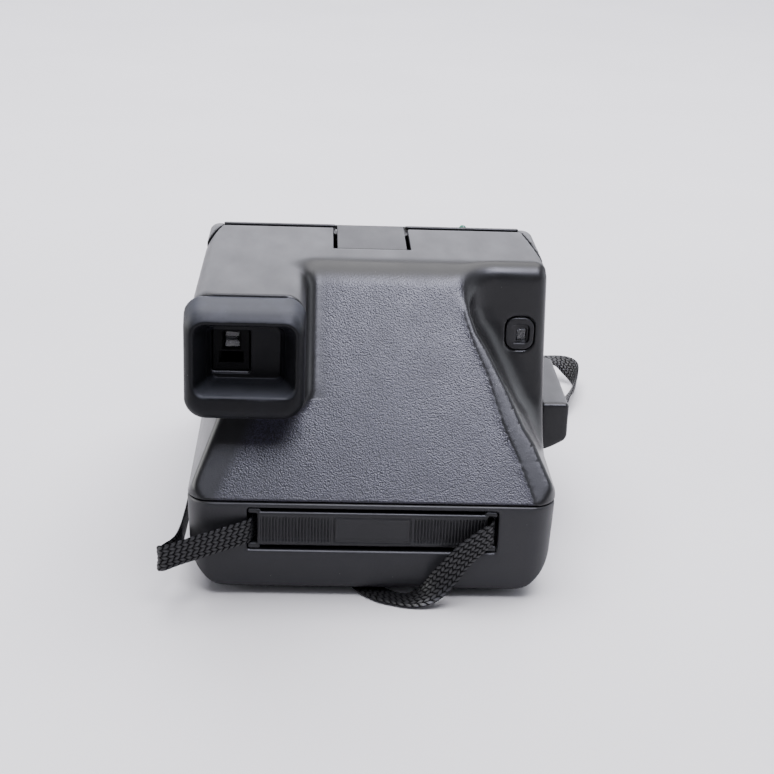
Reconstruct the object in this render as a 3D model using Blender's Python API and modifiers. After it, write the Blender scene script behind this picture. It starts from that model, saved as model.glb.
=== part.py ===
"""Box-type instant camera with a fold-down flash, as an assembly of separate parts.

Lengths are in millimetres in the case frame, and MM turns them into metres.
Case frame: x = 0 is the middle of the case, y = 0 is its rear face, z = 0 is the table,
+Y runs towards the lens and +Z runs up. CASE_TO_ROW moves that frame so that the origin is
the middle of the camera's footprint.
"""
import math

import bmesh
import bpy
from mathutils import Matrix, Vector

MM = 0.001
GAP = 0.3                      # air between pieces that touch
CASE_TO_ROW = (-4.95, -72.0, 0.0)

# ---- driving dimensions of the case -------------------------------------------------------
HALF_WIDTH = 57.5              # at the crease between the slope and the rear face
CREASE_Z = 31.3
TOP_Z = 96.6
SLOPE_TOP_Y = 40.4             # where the slope would meet the flat top
SHELL_FRONT_Y = 83.9
SIDE_DRAFT = 0.032             # the upper sides lean in by this much per mm of height
PLAN_RADIUS = 8.0
WALL = 2.4
BASE_BOTTOM_Z = 2.2
BASE_TOP_Z = 31.2
BASE_CORNER_RADIUS = 11.0
RECESS_WALL_Y = 43.0           # the thumb hollow on the right
FINDER_X = (-56.4, -21.7)      # the viewfinder housing
FINDER_REAR_Y = 5.0
FINDER_BOTTOM_Z = 58.0
FINDER_WALL_REAR = 5.4
WING_GAP_X = 50.9              # inner side of the front housing's wings
WING_REAR_Y = {-1: 64.0, 1: 42.0}
PANEL_Y = (105.6, 108.0)       # the lens panel
LENS_X = 0.0
LENS_Z = 66.0
FLASH_AXIS = (0.0, 88.4, 92.6)
FLASH_KNUCKLE_R = 3.9
FLASH_REAR_Y = 110.4
FLASH_BOTTOM_Z = 41.2
FLASH_HALF_WIDTH = 55.3
DOOR_AXIS = (0.0, 121.5, 5.0)
DOOR_KNUCKLE_R = 2.3
DOOR_HALF_WIDTH = 55.4
DOOR_TOP_Z = 37.5
DOOR_FRONT_Y = 149.0
ROLLER_Y = 133.0
ROLLER_R = 4.2
ROLLER_Z = {"upper_roller": 29.5, "lower_roller": 20.6}
POCKET = ((-38.5, 39.2), (15.5, 29.5), 5.0)     # strap pocket: x range, z range, depth
BAR_X = (-35.4, 36.0)
BAR_Z = (17.0, 28.4)
GRIP_X = (57.9, 67.7)
GRIP_Y = (55.0, 102.0)
STRAP_WIDTH = 8.0
STRAP_THICK = 1.2
STRAP_LIFT = 0.35              # the strap's lowest side above the table
MIRROR_OFFSET = 18.0           # the mirror lies on z = y + this, in mm
GEAR_X = 46.5
GEAR_Y = (76.3, 79.8)
GEAR_MODULE = 0.6

# ---- clearing the scene, collections and materials ----------------------------------------
for old in list(bpy.data.objects):
    bpy.data.objects.remove(old, do_unlink=True)

parts = bpy.data.collections.new("instant_camera")
cutters = bpy.data.collections.new("cutters")
for collection in (parts, cutters):
    bpy.context.scene.collection.children.link(collection)

MATERIALS = {                  # colour, roughness, metallic
    "shell_plastic": ((0.115, 0.118, 0.130), 0.45, 0.0),
    "base_plastic": ((0.045, 0.046, 0.052), 0.50, 0.0),
    "trim_plastic": ((0.060, 0.060, 0.066), 0.40, 0.0),
    "eyecup_rubber": ((0.030, 0.032, 0.038), 0.60, 0.0),
    "black_plastic": ((0.012, 0.012, 0.013), 0.55, 0.0),
    "clear_plastic": ((0.55, 0.58, 0.60), 0.08, 0.0),
    "green_plastic": ((0.02, 0.22, 0.14), 0.30, 0.0),
    "white_plastic": ((0.75, 0.75, 0.72), 0.50, 0.0),
    "steel": ((0.55, 0.55, 0.56), 0.28, 1.0),
    "copper": ((0.72, 0.42, 0.22), 0.35, 1.0),
    "mirror_glass": ((0.85, 0.86, 0.87), 0.03, 1.0),
    "circuit_board": ((0.03, 0.16, 0.08), 0.50, 0.0),
    "strap_nylon": ((0.010, 0.010, 0.011), 0.75, 0.0),
}


def make_material(name):
    colour, roughness, metallic = MATERIALS[name]
    material = bpy.data.materials.new(name)
    material.use_nodes = True
    shader = material.node_tree.nodes["Principled BSDF"]
    shader.inputs["Base Color"].default_value = (*colour, 1.0)
    shader.inputs["Roughness"].default_value = roughness
    shader.inputs["Metallic"].default_value = metallic
    return material


# ---- empties: the case frame and one on each joint's axis ---------------------------------
def make_empty(name, position, parent=None):
    empty = bpy.data.objects.new(name, None)
    parts.objects.link(empty)
    empty.parent = parent
    empty.location = Vector(position) * MM
    return empty


case_frame = make_empty("case_frame", CASE_TO_ROW)
JOINT_AXES = {
    "flash_axis": FLASH_AXIS,
    "door_axis": DOOR_AXIS,
    "upper_roller_axis": (0.0, ROLLER_Y, ROLLER_Z["upper_roller"]),
    "lower_roller_axis": (0.0, ROLLER_Y, ROLLER_Z["lower_roller"]),
    "dial_axis": (43.0, 46.7, 66.5),
    "motor_axis": (GEAR_X, GEAR_Y[0], 42.0),
    "idler_axis": (GEAR_X, GEAR_Y[0], 49.8),
    "cam_axis": (GEAR_X, GEAR_Y[0], 61.8),
}
joint_empties = {name: make_empty(name, spot, case_frame) for name, spot in JOINT_AXES.items()}


# ---- tools --------------------------------------------------------------------------------
def settle(item, material, joint, centre=(0.0, 0.0, 0.0)):
    """Puts a new object in the camera, under its joint's empty if it moves on one."""
    if material is None:
        cutters.objects.link(item)
        item.hide_render = True
        item.display_type = "WIRE"
    else:
        parts.objects.link(item)
        item.data.materials.append(make_material(material))
    item.parent = joint_empties[joint] if joint else case_frame
    offset = Vector(JOINT_AXES[joint]) if joint else Vector((0.0, 0.0, 0.0))
    item.location = (Vector(centre) - offset) * MM
    return item


def new_object(name, shape, material, joint, centre=(0.0, 0.0, 0.0)):
    mesh = bpy.data.meshes.new(name)
    shape.to_mesh(mesh)
    shape.free()
    return settle(bpy.data.objects.new(name, mesh), material, joint, centre)


def box(name, x, y, z, material=None, joint=None, bevel=0.0):
    """A box between two corners, with rounded edges if bevel is given."""
    size = Vector((x[1] - x[0], y[1] - y[0], z[1] - z[0]))
    shape = bmesh.new()
    bmesh.ops.create_cube(shape, size=1.0)
    bmesh.ops.scale(shape, vec=size * MM, verts=shape.verts)
    centre = (sum(x) / 2, sum(y) / 2, sum(z) / 2)
    item = new_object(name, shape, material, joint, centre)
    if bevel:
        rounding = item.modifiers.new("rounded_edges", "BEVEL")
        rounding.width = bevel * MM
        rounding.segments = 2
    return item


AXIS_TURNS = {
    "X": Matrix(((0, 0, 1), (1, 0, 0), (0, 1, 0))).to_4x4(),
    "Y": Matrix(((1, 0, 0), (0, 0, -1), (0, 1, 0))).to_4x4(),
    "Z": Matrix.Identity(4),
}


def cylinder(name, centre, radius, length, axis, material=None, joint=None, sides=24):
    shape = bmesh.new()
    bmesh.ops.create_cone(shape, cap_ends=True, segments=sides, radius1=radius * MM,
                          radius2=radius * MM, depth=length * MM)
    bmesh.ops.transform(shape, matrix=AXIS_TURNS[axis], verts=shape.verts)
    item = new_object(name, shape, material, joint, centre)
    item.data.shade_smooth()
    item.data.set_sharp_from_angle(angle=math.radians(40))
    return item


def rounded(corners, radii, steps=4):
    """The outline through the corners, each turned into an arc of its radius."""
    if not isinstance(radii, (list, tuple)):
        radii = [radii] * len(corners)
    outline = []
    for index, corner in enumerate(corners):
        here = Vector(corner)
        if radii[index] <= 0.0:
            outline.append(here)
            continue
        back = (Vector(corners[index - 1]) - here).normalized()
        ahead = (Vector(corners[(index + 1) % len(corners)]) - here).normalized()
        half_angle = back.angle(ahead) / 2
        centre = here + (back + ahead).normalized() * (radii[index] / math.sin(half_angle))
        start = here + back * (radii[index] / math.tan(half_angle)) - centre
        end = here + ahead * (radii[index] / math.tan(half_angle)) - centre
        sweep = start.angle_signed(end)
        for step in range(steps + 1):
            outline.append(centre + Matrix.Rotation(-sweep * step / steps, 2) @ start)
    return outline


def rectangle(a, b):
    return [(a[0], b[0]), (a[1], b[0]), (a[1], b[1]), (a[0], b[1])]


def prism(name, outline, axis, low, high, material=None, joint=None):
    """A flat outline given thickness along an axis, from low to high.

    The outline is (y, z) for axis X, (x, z) for axis Y and (x, y) for axis Z.
    """
    curve = bpy.data.curves.new(name, "CURVE")
    curve.dimensions = "2D"
    curve.fill_mode = "BOTH"
    curve.extrude = (high - low) / 2 * MM
    spline = curve.splines.new("POLY")
    spline.points.add(len(outline) - 1)
    for point, (a, b) in zip(spline.points, outline):
        point.co = (a * MM, b * MM, 0.0, 1.0)
    spline.use_cyclic_u = True
    flat = bpy.data.objects.new(name, curve)
    bpy.context.scene.collection.objects.link(flat)
    depsgraph = bpy.context.evaluated_depsgraph_get()
    mesh = bpy.data.meshes.new_from_object(flat.evaluated_get(depsgraph))
    bpy.data.objects.remove(flat, do_unlink=True)
    bpy.data.curves.remove(curve)
    middle = (low + high) / 2 * MM
    along = {"X": (middle, 0, 0), "Y": (0, middle, 0), "Z": (0, 0, middle)}[axis]
    shape = bmesh.new()
    shape.from_mesh(mesh)
    bmesh.ops.remove_doubles(shape, verts=shape.verts, dist=1e-7)
    bmesh.ops.transform(shape, matrix=Matrix.Translation(along) @ AXIS_TURNS[axis],
                        verts=shape.verts)
    bmesh.ops.recalc_face_normals(shape, faces=shape.faces)
    bpy.data.meshes.remove(mesh)
    return new_object(name, shape, material, joint)


def turned(name, profile, centre, axis, material, joint=None, sides=24):
    """A turned piece: a profile of (radius, height) from top to bottom, spun round."""
    mesh = bpy.data.meshes.new(name)
    points = [(radius * MM, 0.0, height * MM) for radius, height in profile]
    mesh.from_pydata(points, [(i, i + 1) for i in range(len(points) - 1)], [])
    item = settle(bpy.data.objects.new(name, mesh), material, joint, centre)
    item.rotation_euler = {"X": (0, math.pi / 2, 0), "Y": (-math.pi / 2, 0, 0), "Z": (0, 0, 0)}[axis]
    spin = item.modifiers.new("turned", "SCREW")
    spin.steps = sides
    spin.render_steps = sides
    spin.use_merge_vertices = True
    spin.merge_threshold = 1e-6
    return item


def combine(item, other, operation):
    change = item.modifiers.new(operation.lower() + "_" + other.name, "BOOLEAN")
    change.object = other
    change.operation = operation
    change.solver = "EXACT"
    return item


def cut(item, *others):
    for other in others:
        combine(item, other, "DIFFERENCE")
    return item


def join(item, *others):
    for other in others:
        combine(item, other, "UNION")
    return item


def lean(item, low_z, per_mm):
    """Draws the sides of a shape towards the middle plane as they rise above low_z."""
    for vertex in item.data.vertices:
        height = vertex.co.z / MM - low_z
        side = 1.0 if vertex.co.x > 0 else -1.0
        vertex.co.x -= side * per_mm * height * MM
    return item


def circle(centre, radius, start=0.0, end=360.0, steps=16):
    """Points on an arc, in degrees; the end point is left out of a full circle."""
    full = abs(end - start) >= 360.0
    count = steps if full else steps + 1
    angles = [math.radians(start + (end - start) * i / steps) for i in range(count)]
    return [(centre[0] + radius * math.cos(a), centre[1] + radius * math.sin(a)) for a in angles]


# ---- upper shell --------------------------------------------------------------------------
def slope_y(z, inset=0.0):
    """Where the rear slope is at a height, moved into the case by inset."""
    rise = TOP_Z - CREASE_Z
    length = math.hypot(SLOPE_TOP_Y, rise)
    return (z - CREASE_Z) * SLOPE_TOP_Y / rise + inset * length / rise


def ridge_outline(inset):
    """The thumb hollow seen from behind: everything to the right of the slope's ridge."""
    ridge = [(29.6, 112.0), (29.8, 90.0), (31.2, 81.0), (35.2, 74.0), (41.5, 63.0),
             (47.3, 52.0), (53.9, 40.8), (57.8, 33.4)]
    shifted = [(x - inset * 1.1, z - inset * 0.4) for x, z in ridge]
    return shifted + [(75.0, 33.4 - inset * 0.4), (75.0, 112.0)]


def wing_outline(side, grow):
    """A front housing wing seen from the side, narrowing to a point towards the rear."""
    rear = WING_REAR_Y[side] - grow
    return [(rear, 112.0 if grow else 96.2), (rear, 94.6 - grow), (SHELL_FRONT_Y + 0.5, 80.0 - grow),
            (107.9, 76.0 - grow), (107.9, 90.2), (112.0, 112.0) if grow else (88.4, 96.2)]


def shell_form(name, inset, reach, material=None):
    """The upper shell's outer form, moved inwards by inset and run past its open faces by reach."""
    bottom_z = BASE_TOP_Z + GAP - reach
    front_y = SHELL_FRONT_Y + reach
    top_z = TOP_Z - inset
    profile = [(slope_y(bottom_z, inset), bottom_z), (front_y, bottom_z), (front_y, top_z),
               (slope_y(top_z, inset), top_z)]
    side = rounded(profile, [0, 0, 0, 6.0 - inset], steps=5)
    width = HALF_WIDTH - inset
    form = prism(name, side, "X", -width, width, material)
    lean(form, CREASE_Z, SIDE_DRAFT)
    plan = rectangle((-width, width), (inset, front_y + 5.0))
    plan = rounded(plan, [PLAN_RADIUS - inset, PLAN_RADIUS - inset, 0, 0])
    combine(form, prism(name + "_plan", plan, "Z", bottom_z - 5.0, 110.0), "INTERSECT")
    hollow = prism(name + "_thumb_hollow", ridge_outline(inset), "Y", -30.0, RECESS_WALL_Y + inset)
    cut(form, hollow)
    rear_wall = FINDER_WALL_REAR if inset else 0.0
    finder = rectangle((FINDER_X[0] + inset, FINDER_X[1] - inset), (FINDER_BOTTOM_Z + inset, top_z))
    finder = rounded(finder, [5.0 - inset, 5.0 - inset, 3.6 - inset, 5.0 - inset])
    join(form, prism(name + "_finder", finder, "Y", FINDER_REAR_Y + rear_wall, front_y))
    for side_sign, word in ((-1, "left"), (1, "right")):
        reach_x = sorted((side_sign * (WING_GAP_X - inset), side_sign * 75.0))
        notch = prism(name + "_wing_" + word, wing_outline(side_sign, 0.4 + inset), "X", *reach_x)
        cut(form, notch)
    return form


def build_upper_shell():
    shell = shell_form("upper_shell", 0.0, 0.0, "shell_plastic")
    cut(shell, shell_form("shell_inside", WALL, 15.0))
    cut(shell, box("finder_pocket", (-51.5, -24.5), (0.0, 8.0), (65.0, 86.5)))
    cut(shell, box("finder_hole", (-49.6, -38.0), (6.0, 14.0), (71.5, 84.9)))
    plug_hole = rounded(rectangle((42.6, 52.4), (67.8, 79.2)), 3.8)
    cut(shell, prism("counter_hole", plug_hole, "Y", 40.0, 50.0))
    cut(shell, box("hinge_cover_pocket", (-13.2, 12.0), (57.7, 90.0), (95.0, 100.0)))
    return shell


def build_hinge_cover():
    box("hinge_cover", (-12.0, 10.8), (58.0, 84.1), (95.3, 96.55), "trim_plastic", bevel=0.3)


# ---- base ---------------------------------------------------------------------------------
def base_form(name, inset, x_corner_radius, y, z_top, material=None):
    bottom = BASE_BOTTOM_Z + inset
    side = rounded([(-HALF_WIDTH + inset, z_top), (-56.3 + inset, bottom), (56.3 - inset, bottom),
                    (HALF_WIDTH - inset, z_top)], [0, x_corner_radius, x_corner_radius, 0], steps=5)
    return prism(name, side, "Y", *y, material)


def build_base():
    front = 118.8
    base = base_form("base_tub", 0.0, BASE_CORNER_RADIUS, (0.0, front), BASE_TOP_Z, "base_plastic")
    plan = rounded(rectangle((-HALF_WIDTH - 2, HALF_WIDTH + 2), (0.0, 130.0)), [10.0, 10.0, 0, 0])
    combine(base, prism("base_plan", plan, "Z", -5.0, 40.0), "INTERSECT")
    cut(base, base_form("base_inside", WALL, BASE_CORNER_RADIUS - WALL, (7.2, 135.0), 50.0))
    cut(base, box("strap_pocket", POCKET[0], (-5.0, POCKET[2]), POCKET[1]))
    for word, low in (("left", -46.0), ("right", 41.0)):
        join(base, box("hinge_ear_" + word, (low, low + 5.0), (115.0, 124.0), (2.7, 7.3)))
    cut(base, cylinder("door_pin_hole", DOOR_AXIS, 1.5, 90.0, "X", sides=16))
    cut(base, box("latch_slot", (50.0, 62.0), (100.7, 112.3), (16.7, 23.3)))
    return base


def build_feet():
    for row, y in (("rear", 14.0), ("front", 104.0)):
        for side, x in (("left", -38.0), ("right", 38.0)):
            turned("foot_" + row + "_" + side, [(0, 1.9), (4.0, 1.9), (4.0, 0.5), (3.5, 0.0), (0, 0)],
                   (x, y, 0.0), "Z", "eyecup_rubber", sides=20)


def build_strap_bar():
    bar = box("strap_bar", BAR_X, (0.2, 2.6), BAR_Z, "trim_plastic")
    ends = ((POCKET[0][0] + GAP, BAR_X[0] + 1.0), (BAR_X[1] - 1.0, POCKET[0][1] - GAP))
    for side, x in zip(("left", "right"), ends):
        join(bar, box("bar_ear_low_" + side, x, (0.6, 2.2), (15.8, 17.6)))
        join(bar, box("bar_ear_high_" + side, x, (0.6, 2.2), (27.6, 29.2)))
        middle = -22.0 if side == "left" else 22.0
        join(bar, box("bar_post_" + side, (middle - 3, middle + 3), (2.0, POCKET[2] - GAP), (19.0, 26.0)))
    for side, start in (("left", -34.2), ("right", 13.4)):
        for number in range(11):
            x = start + 2.0 * number
            cut(bar, box("rib_%s_%d" % (side, number), (x, x + 1.0), (-1.0, 0.6), (18.6, 26.8)))
    return bar


# ---- viewfinder ---------------------------------------------------------------------------
def build_viewfinder():
    outer = rounded(rectangle((-57.8, -21.4), (58.7, 96.1)), 6.0)
    cup = prism("eyecup", outer, "Y", -5.0, 4.7, "eyecup_rubber")
    mouth = Vector((-38.3, 0.0, 77.6))
    funnel = bmesh.new()
    bmesh.ops.create_cube(funnel, size=1.0)
    for vertex in funnel.verts:
        rear = vertex.co.y < 0
        half = (15.8, 13.2) if rear else (13.6, 10.6)
        depth = -6.0 if rear else 6.0
        lift = 0.0 if rear else -1.6
        vertex.co = Vector((math.copysign(half[0], vertex.co.x), depth,
                            math.copysign(half[1], vertex.co.z) + lift)) * MM
    cut(cup, new_object("eyecup_funnel", funnel, None, None, mouth))
    mask = box("viewfinder_mask", (-49.3, -38.3), (8.2, 9.6), (71.8, 84.6), "black_plastic")
    cut(mask, box("mask_upper_window", (-46.3, -41.1), (7.0, 11.0), (78.0, 83.3)))
    cut(mask, box("mask_lower_window", (-47.6, -40.0), (7.0, 11.0), (73.0, 76.8)))
    tube = box("viewfinder_tube", (-48.1, -32.6), (10.9, 104.4), (64.5, 84.5), "black_plastic")
    cut(tube, box("tube_bore", (-46.9, -33.8), (5.0, 110.0), (65.8, 83.2)))
    for name, y in (("viewfinder_eyepiece", (14.0, 17.0)), ("viewfinder_front_lens", (98.0, 101.0))):
        box(name, (-46.5, -34.2), y, (66.2, 82.8), "clear_plastic", bevel=0.8)


# ---- front housing, lens and shutter ------------------------------------------------------
def build_front_housing():
    deck = [(84.3, 88.0), (PANEL_Y[1], 87.0), (PANEL_Y[1], 32.0), (PANEL_Y[0], 32.0),
            (PANEL_Y[0], 84.9), (84.3, 85.8)]
    housing = prism("front_housing", deck, "X", -53.5, 53.5, "shell_plastic")
    wall = [(84.3, 31.6), (107.9, 31.6), (107.9, 88.0), (84.3, 88.0)]
    for side, word in ((-1, "left"), (1, "right")):
        join(housing, prism("front_wall_" + word, wall, "X", *sorted((side * 52.9, side * 55.4))))
        reach = sorted((side * (WING_GAP_X + 0.4), side * 55.4))
        join(housing, prism("front_wing_" + word, wing_outline(side, 0.0), "X", *reach))
        pin_hole = cylinder("flash_pin_hole_" + word, (side * 50.0, FLASH_AXIS[1], FLASH_AXIS[2]),
                            1.8, 7.6, "X", sides=16)
        cut(housing, pin_hole)
    cut(housing, cylinder("lens_hole", (LENS_X, 107.0, LENS_Z), 12.9, 10.0, "Y", sides=32))
    cut(housing, box("finder_window", (-46.9, -33.8), (103.0, 112.0), (66.5, 82.5)))
    cut(housing, cylinder("photocell_hole", (27.0, 107.0, 76.0), 3.8, 10.0, "Y"))
    cut(housing, box("exposure_slot", (-44.0, -24.0), (100.0, 112.0), (43.7, 48.3)))
    return housing


def build_lens():
    barrel = cylinder("lens_barrel", (LENS_X, 106.6, LENS_Z), 12.5, 5.0, "Y", "black_plastic", sides=32)
    cut(barrel, cylinder("barrel_bore", (LENS_X, 106.6, LENS_Z), 9.8, 12.0, "Y", sides=32))
    lens_profile = [(0.0, 1.6), (3.3, 1.5), (6.4, 1.1), (9.5, 0.4), (9.5, -1.2), (0.0, -1.2)]
    turned("taking_lens", lens_profile, (LENS_X, 106.4, LENS_Z), "Y", "clear_plastic", sides=32)
    house = box("shutter_housing", (-26.0, 26.0), (98.7, 103.8), (50.0, 82.0), "black_plastic")
    cut(house, box("blade_room", (-24.4, 24.4), (99.9, 102.6), (55.5, 76.5)))
    cut(house, cylinder("aperture", (LENS_X, 101.0, LENS_Z), 6.0, 12.0, "Y"))
    cell = cylinder("photocell", (27.0, 104.6, 76.0), 2.6, 1.6, "Y", "black_plastic")
    cell.data.shade_flat()
    cylinder("photocell_window", (27.0, 107.0, 76.0), 3.5, 2.2, "Y", "clear_plastic")
    for side, word, y in ((-1, "left", 100.2), (1, "right", 101.6)):
        x = sorted((side * 15.5, side * -3.0))
        box("shutter_blade_" + word, x, (y, y + 0.7), (57.0, 75.0), "steel")
    box("exposure_slider", (-37.5, -30.5), (104.2, 109.8), (44.0, 48.0), "trim_plastic", bevel=0.5)


def build_light_chamber():
    """The dark chamber that tapers from the film to the lens, with the mirror on its sloping back."""
    outer = [(11.0, 27.4), (97.8, 27.4), (97.8, 83.5), (83.5 - MIRROR_OFFSET, 83.5),
             (11.0, 11.0 + MIRROR_OFFSET)]
    chamber = prism("light_chamber", outer, "X", -41.0, 41.0, "black_plastic")
    inner = [(-20.0, 10.0), (96.3, 10.0), (96.3, 82.0), (-20.0, 82.0)]
    room = prism("chamber_room", inner, "X", -39.6, 39.6)
    for item in (chamber, room):
        lean(item, 27.4, 0.30)
    cut(chamber, room)
    cut(chamber, cylinder("chamber_lens_hole", (LENS_X, 97.0, LENS_Z), 9.0, 12.0, "Y"))
    outline = [(-39.5, -36.0), (39.5, -36.0), (25.0, 37.0), (-25.0, 37.0)]
    mirror = prism("mirror", outline, "Z", GAP, GAP + 1.5, "mirror_glass")
    mirror.rotation_euler = (math.radians(45), 0, 0)
    mirror.location = Vector((0.0, 38.4, 38.4 + MIRROR_OFFSET)) * MM


# ---- flash unit ---------------------------------------------------------------------------
def hood_outline(inset):
    """The flash unit's sloping top and front, seen from the side."""
    return [(112.0, 89.5 - inset), (132.0 - inset * 0.5, 76.0 - inset), (144.0 - inset, 58.0 - inset * 0.5),
            (147.4 - inset, 45.0)]


def build_flash():
    hinge = FLASH_AXIS[1:]
    tail = circle(hinge, FLASH_KNUCKLE_R, 90, 270, steps=10)
    arm = [(112.5, 89.3)] + tail + [(FLASH_REAR_Y, 87.7), (112.5, 84.0)]
    cover = prism("flash_cover", arm, "X", -WING_GAP_X + 0.1, WING_GAP_X - 0.1, "shell_plastic",
                  "flash_axis")
    body = [(FLASH_REAR_Y, FLASH_BOTTOM_Z), (FLASH_REAR_Y, 89.95)] + hood_outline(0.0) \
        + [(145.2, FLASH_BOTTOM_Z)]
    join(cover, prism("flash_body", body, "X", -FLASH_HALF_WIDTH, FLASH_HALF_WIDTH, None, "flash_axis"))
    inside = [(FLASH_REAR_Y + 2.2, 30.0), (FLASH_REAR_Y + 2.2, 86.8)] + hood_outline(2.4) \
        + [(144.0, 30.0)]
    width = FLASH_HALF_WIDTH - 2.2
    cut(cover, prism("flash_inside", inside, "X", -width, width, None, "flash_axis"))
    for side, word in ((-1, "left"), (1, "right")):
        spot = (side * 47.7, hinge[0], hinge[1])
        cut(cover, cylinder("flash_bore_" + word, spot, 1.8, 9.0, "X", None, "flash_axis", sides=16))
        cylinder("flash_hinge_pin_" + word, (side * 48.6, hinge[0], hinge[1]), 1.5, 8.6, "X", "steel",
                 sides=16)
    lamp_spot = (31.7, 92.6, 94.6)
    cut(cover, cylinder("lamp_hole", (31.7, 92.6, 96.0), 1.65, 4.6, "Z", None, "flash_axis", sides=16))
    dome = [(0, 1.6), (0.7, 1.45), (1.2, 0.9), (1.35, 0.2), (1.35, -0.5), (0, -0.5)]
    turned("ready_lamp", dome, lamp_spot, "Z", "green_plastic", "flash_axis", sides=16)
    plate = box("flash_inner_cover", (-52.8, 52.8), (FLASH_REAR_Y + 2.5, 143.5), (41.4, 43.2),
                "trim_plastic", "flash_axis")
    cut(plate, box("flash_window_hole", (-44.0, 20.0), (116.0, 140.0), (38.0, 48.0), None, "flash_axis"))
    box("flash_window", (-43.7, 19.7), (116.3, 139.7), (41.6, 43.4), "clear_plastic", "flash_axis")
    bowl = [(115.5, 43.9), (140.0, 43.9), (134.0, 55.0), (121.0, 55.0)]
    reflector = prism("flash_reflector", bowl, "X", -42.0, 18.0, "steel", "flash_axis")
    dish = [(116.7, 43.0), (138.9, 43.0), (133.2, 54.0), (121.8, 54.0)]
    cut(reflector, prism("reflector_room", dish, "X", -41.0, 17.0, None, "flash_axis"))
    cylinder("flash_tube", (-12.0, 127.5, 50.5), 2.0, 56.0, "X", "clear_plastic", "flash_axis", 16)
    cylinder("flash_capacitor", (-10.0, 124.0, 67.5), 7.5, 44.0, "X", "black_plastic", "flash_axis")


# ---- film door and rollers ----------------------------------------------------------------
def build_film_door():
    knuckle = circle(DOOR_AXIS[1:], DOOR_KNUCKLE_R, 270, 130, steps=8)
    tip = rounded([(120.1, 12.0), (120.1, 31.9), (109.2, 31.9), (109.2, DOOR_TOP_Z),
                   (DOOR_FRONT_Y, DOOR_TOP_Z), (DOOR_FRONT_Y, 2.7)], [0, 0, 0, 0, 7.0, 4.0], steps=5)
    door = prism("film_door", knuckle + [tuple(p) for p in tip], "X", -DOOR_HALF_WIDTH, DOOR_HALF_WIDTH,
                 "base_plastic", "door_axis")
    inside = rounded([(100.0, 8.6), (100.0, 35.1), (DOOR_FRONT_Y - 2.4, 35.1), (DOOR_FRONT_Y - 2.4, 8.6)],
                     [0, 0, 5.0, 0], steps=5)
    cut(door, prism("door_inside", inside, "X", -DOOR_HALF_WIDTH + 2.2, DOOR_HALF_WIDTH - 2.2, None,
                    "door_axis"))
    cut(door, box("print_slot", (-46.0, 46.0), (140.0, 155.0), (22.0, 28.0), None, "door_axis"))
    cut(door, cylinder("door_bore", DOOR_AXIS, 1.5, 130.0, "X", None, "door_axis", sides=16))
    for word, low in (("left", -46.6), ("right", 40.4)):
        cut(door, box("ear_room_" + word, (low, low + 6.2), (110.0, 126.0), (-2.0, 9.5), None, "door_axis"))
    cylinder("film_door_pin", DOOR_AXIS, 1.2, 89.0, "X", "steel", sides=16)


def build_rollers():
    frame = box("roller_frame", (-51.6, 51.6), (127.0, 129.2), (9.2, 12.4), "steel", "door_axis")
    for word, side in (("left", -1), ("right", 1)):
        x = sorted((side * 49.4, side * 51.6))
        join(frame, box("frame_end_" + word, x, (127.0, 139.0), (9.2, 34.4), None, "door_axis"))
    for name, z in ROLLER_Z.items():
        cut(frame, cylinder(name + "_hole", (0.0, ROLLER_Y, z), 1.8, 130.0, "X", None, "door_axis", 16))
        profile = [(0, 51.9), (1.5, 51.9), (1.5, 49.0), (ROLLER_R, 49.0), (ROLLER_R, -49.0), (1.5, -49.0),
                   (1.5, -51.9), (0, -51.9)]
        turned(name, profile, (0.0, ROLLER_Y, z), "X", "steel", name + "_axis")


def build_door_latch():
    box("door_latch", (53.2, 58.6), (101.0, 107.0), (17.0, 23.0), "trim_plastic", bevel=0.6)


# ---- grip, buttons and counter ------------------------------------------------------------
def build_grip():
    outline = rounded([(GRIP_X[0], 27.4), (60.2, 27.4), (GRIP_X[1], 31.6), (GRIP_X[1], 44.8),
                       (GRIP_X[0], 44.8)], [0, 1.2, 1.5, 1.5, 0], steps=3)
    grip = prism("shutter_grip", outline, "Y", *GRIP_Y, "shell_plastic")
    cut(grip, box("shutter_button_pocket", (59.7, 66.3), (94.0, 110.0), (34.2, 42.8)))
    cut(grip, cylinder("override_pocket", (62.0, 100.0, 31.9), 2.0, 12.0, "Y", sides=16))
    box("shutter_button", (60.0, 66.0), (97.0, 104.4), (34.5, 42.5), "trim_plastic", bevel=0.8)
    cylinder("flash_override_button", (62.0, 100.4, 31.9), 1.7, 5.6, "Y", "trim_plastic", sides=16)


def build_counter():
    plug = prism("counter_plug", rounded(rectangle((42.9, 52.1), (68.1, 78.9)), 3.5), "Y", 42.8, 45.2,
                 "trim_plastic")
    scoop = box("plug_scoop", (45.0, 50.4), (40.0, 44.2), (70.4, 76.4))
    cut(plug, scoop, box("window_seat", (46.6, 49.8), (40.0, 50.0), (71.0, 74.8)))
    box("counter_window", (46.9, 49.5), (44.3, 45.1), (71.3, 74.5), "clear_plastic")
    cylinder("counter_dial", JOINT_AXES["dial_axis"], 10.0, 1.0, "Y", "black_plastic", "dial_axis", 30)


# ---- drive --------------------------------------------------------------------------------
def gear(name, joint, teeth, bore, material):
    pitch = GEAR_MODULE * teeth / 2
    centre = (GEAR_X, JOINT_AXES[joint][2])
    phase = 0.5 if name == "idler_gear" else 0.0
    outline = []
    for tooth in range(teeth):
        for share, radius in ((-0.27, -0.62), (-0.12, 0.42), (0.12, 0.42), (0.27, -0.62)):
            angle = 2 * math.pi * (tooth + phase + share) / teeth + math.pi / 2
            reach = pitch + radius * GEAR_MODULE
            outline.append((centre[0] + reach * math.cos(angle), centre[1] + reach * math.sin(angle)))
    wheel = prism(name, outline, "Y", *GEAR_Y, material, joint)
    if bore:
        cut(wheel, cylinder(name + "_bore", (centre[0], 78.0, centre[1]), bore, 9.0, "Y", None, joint, 16))


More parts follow.
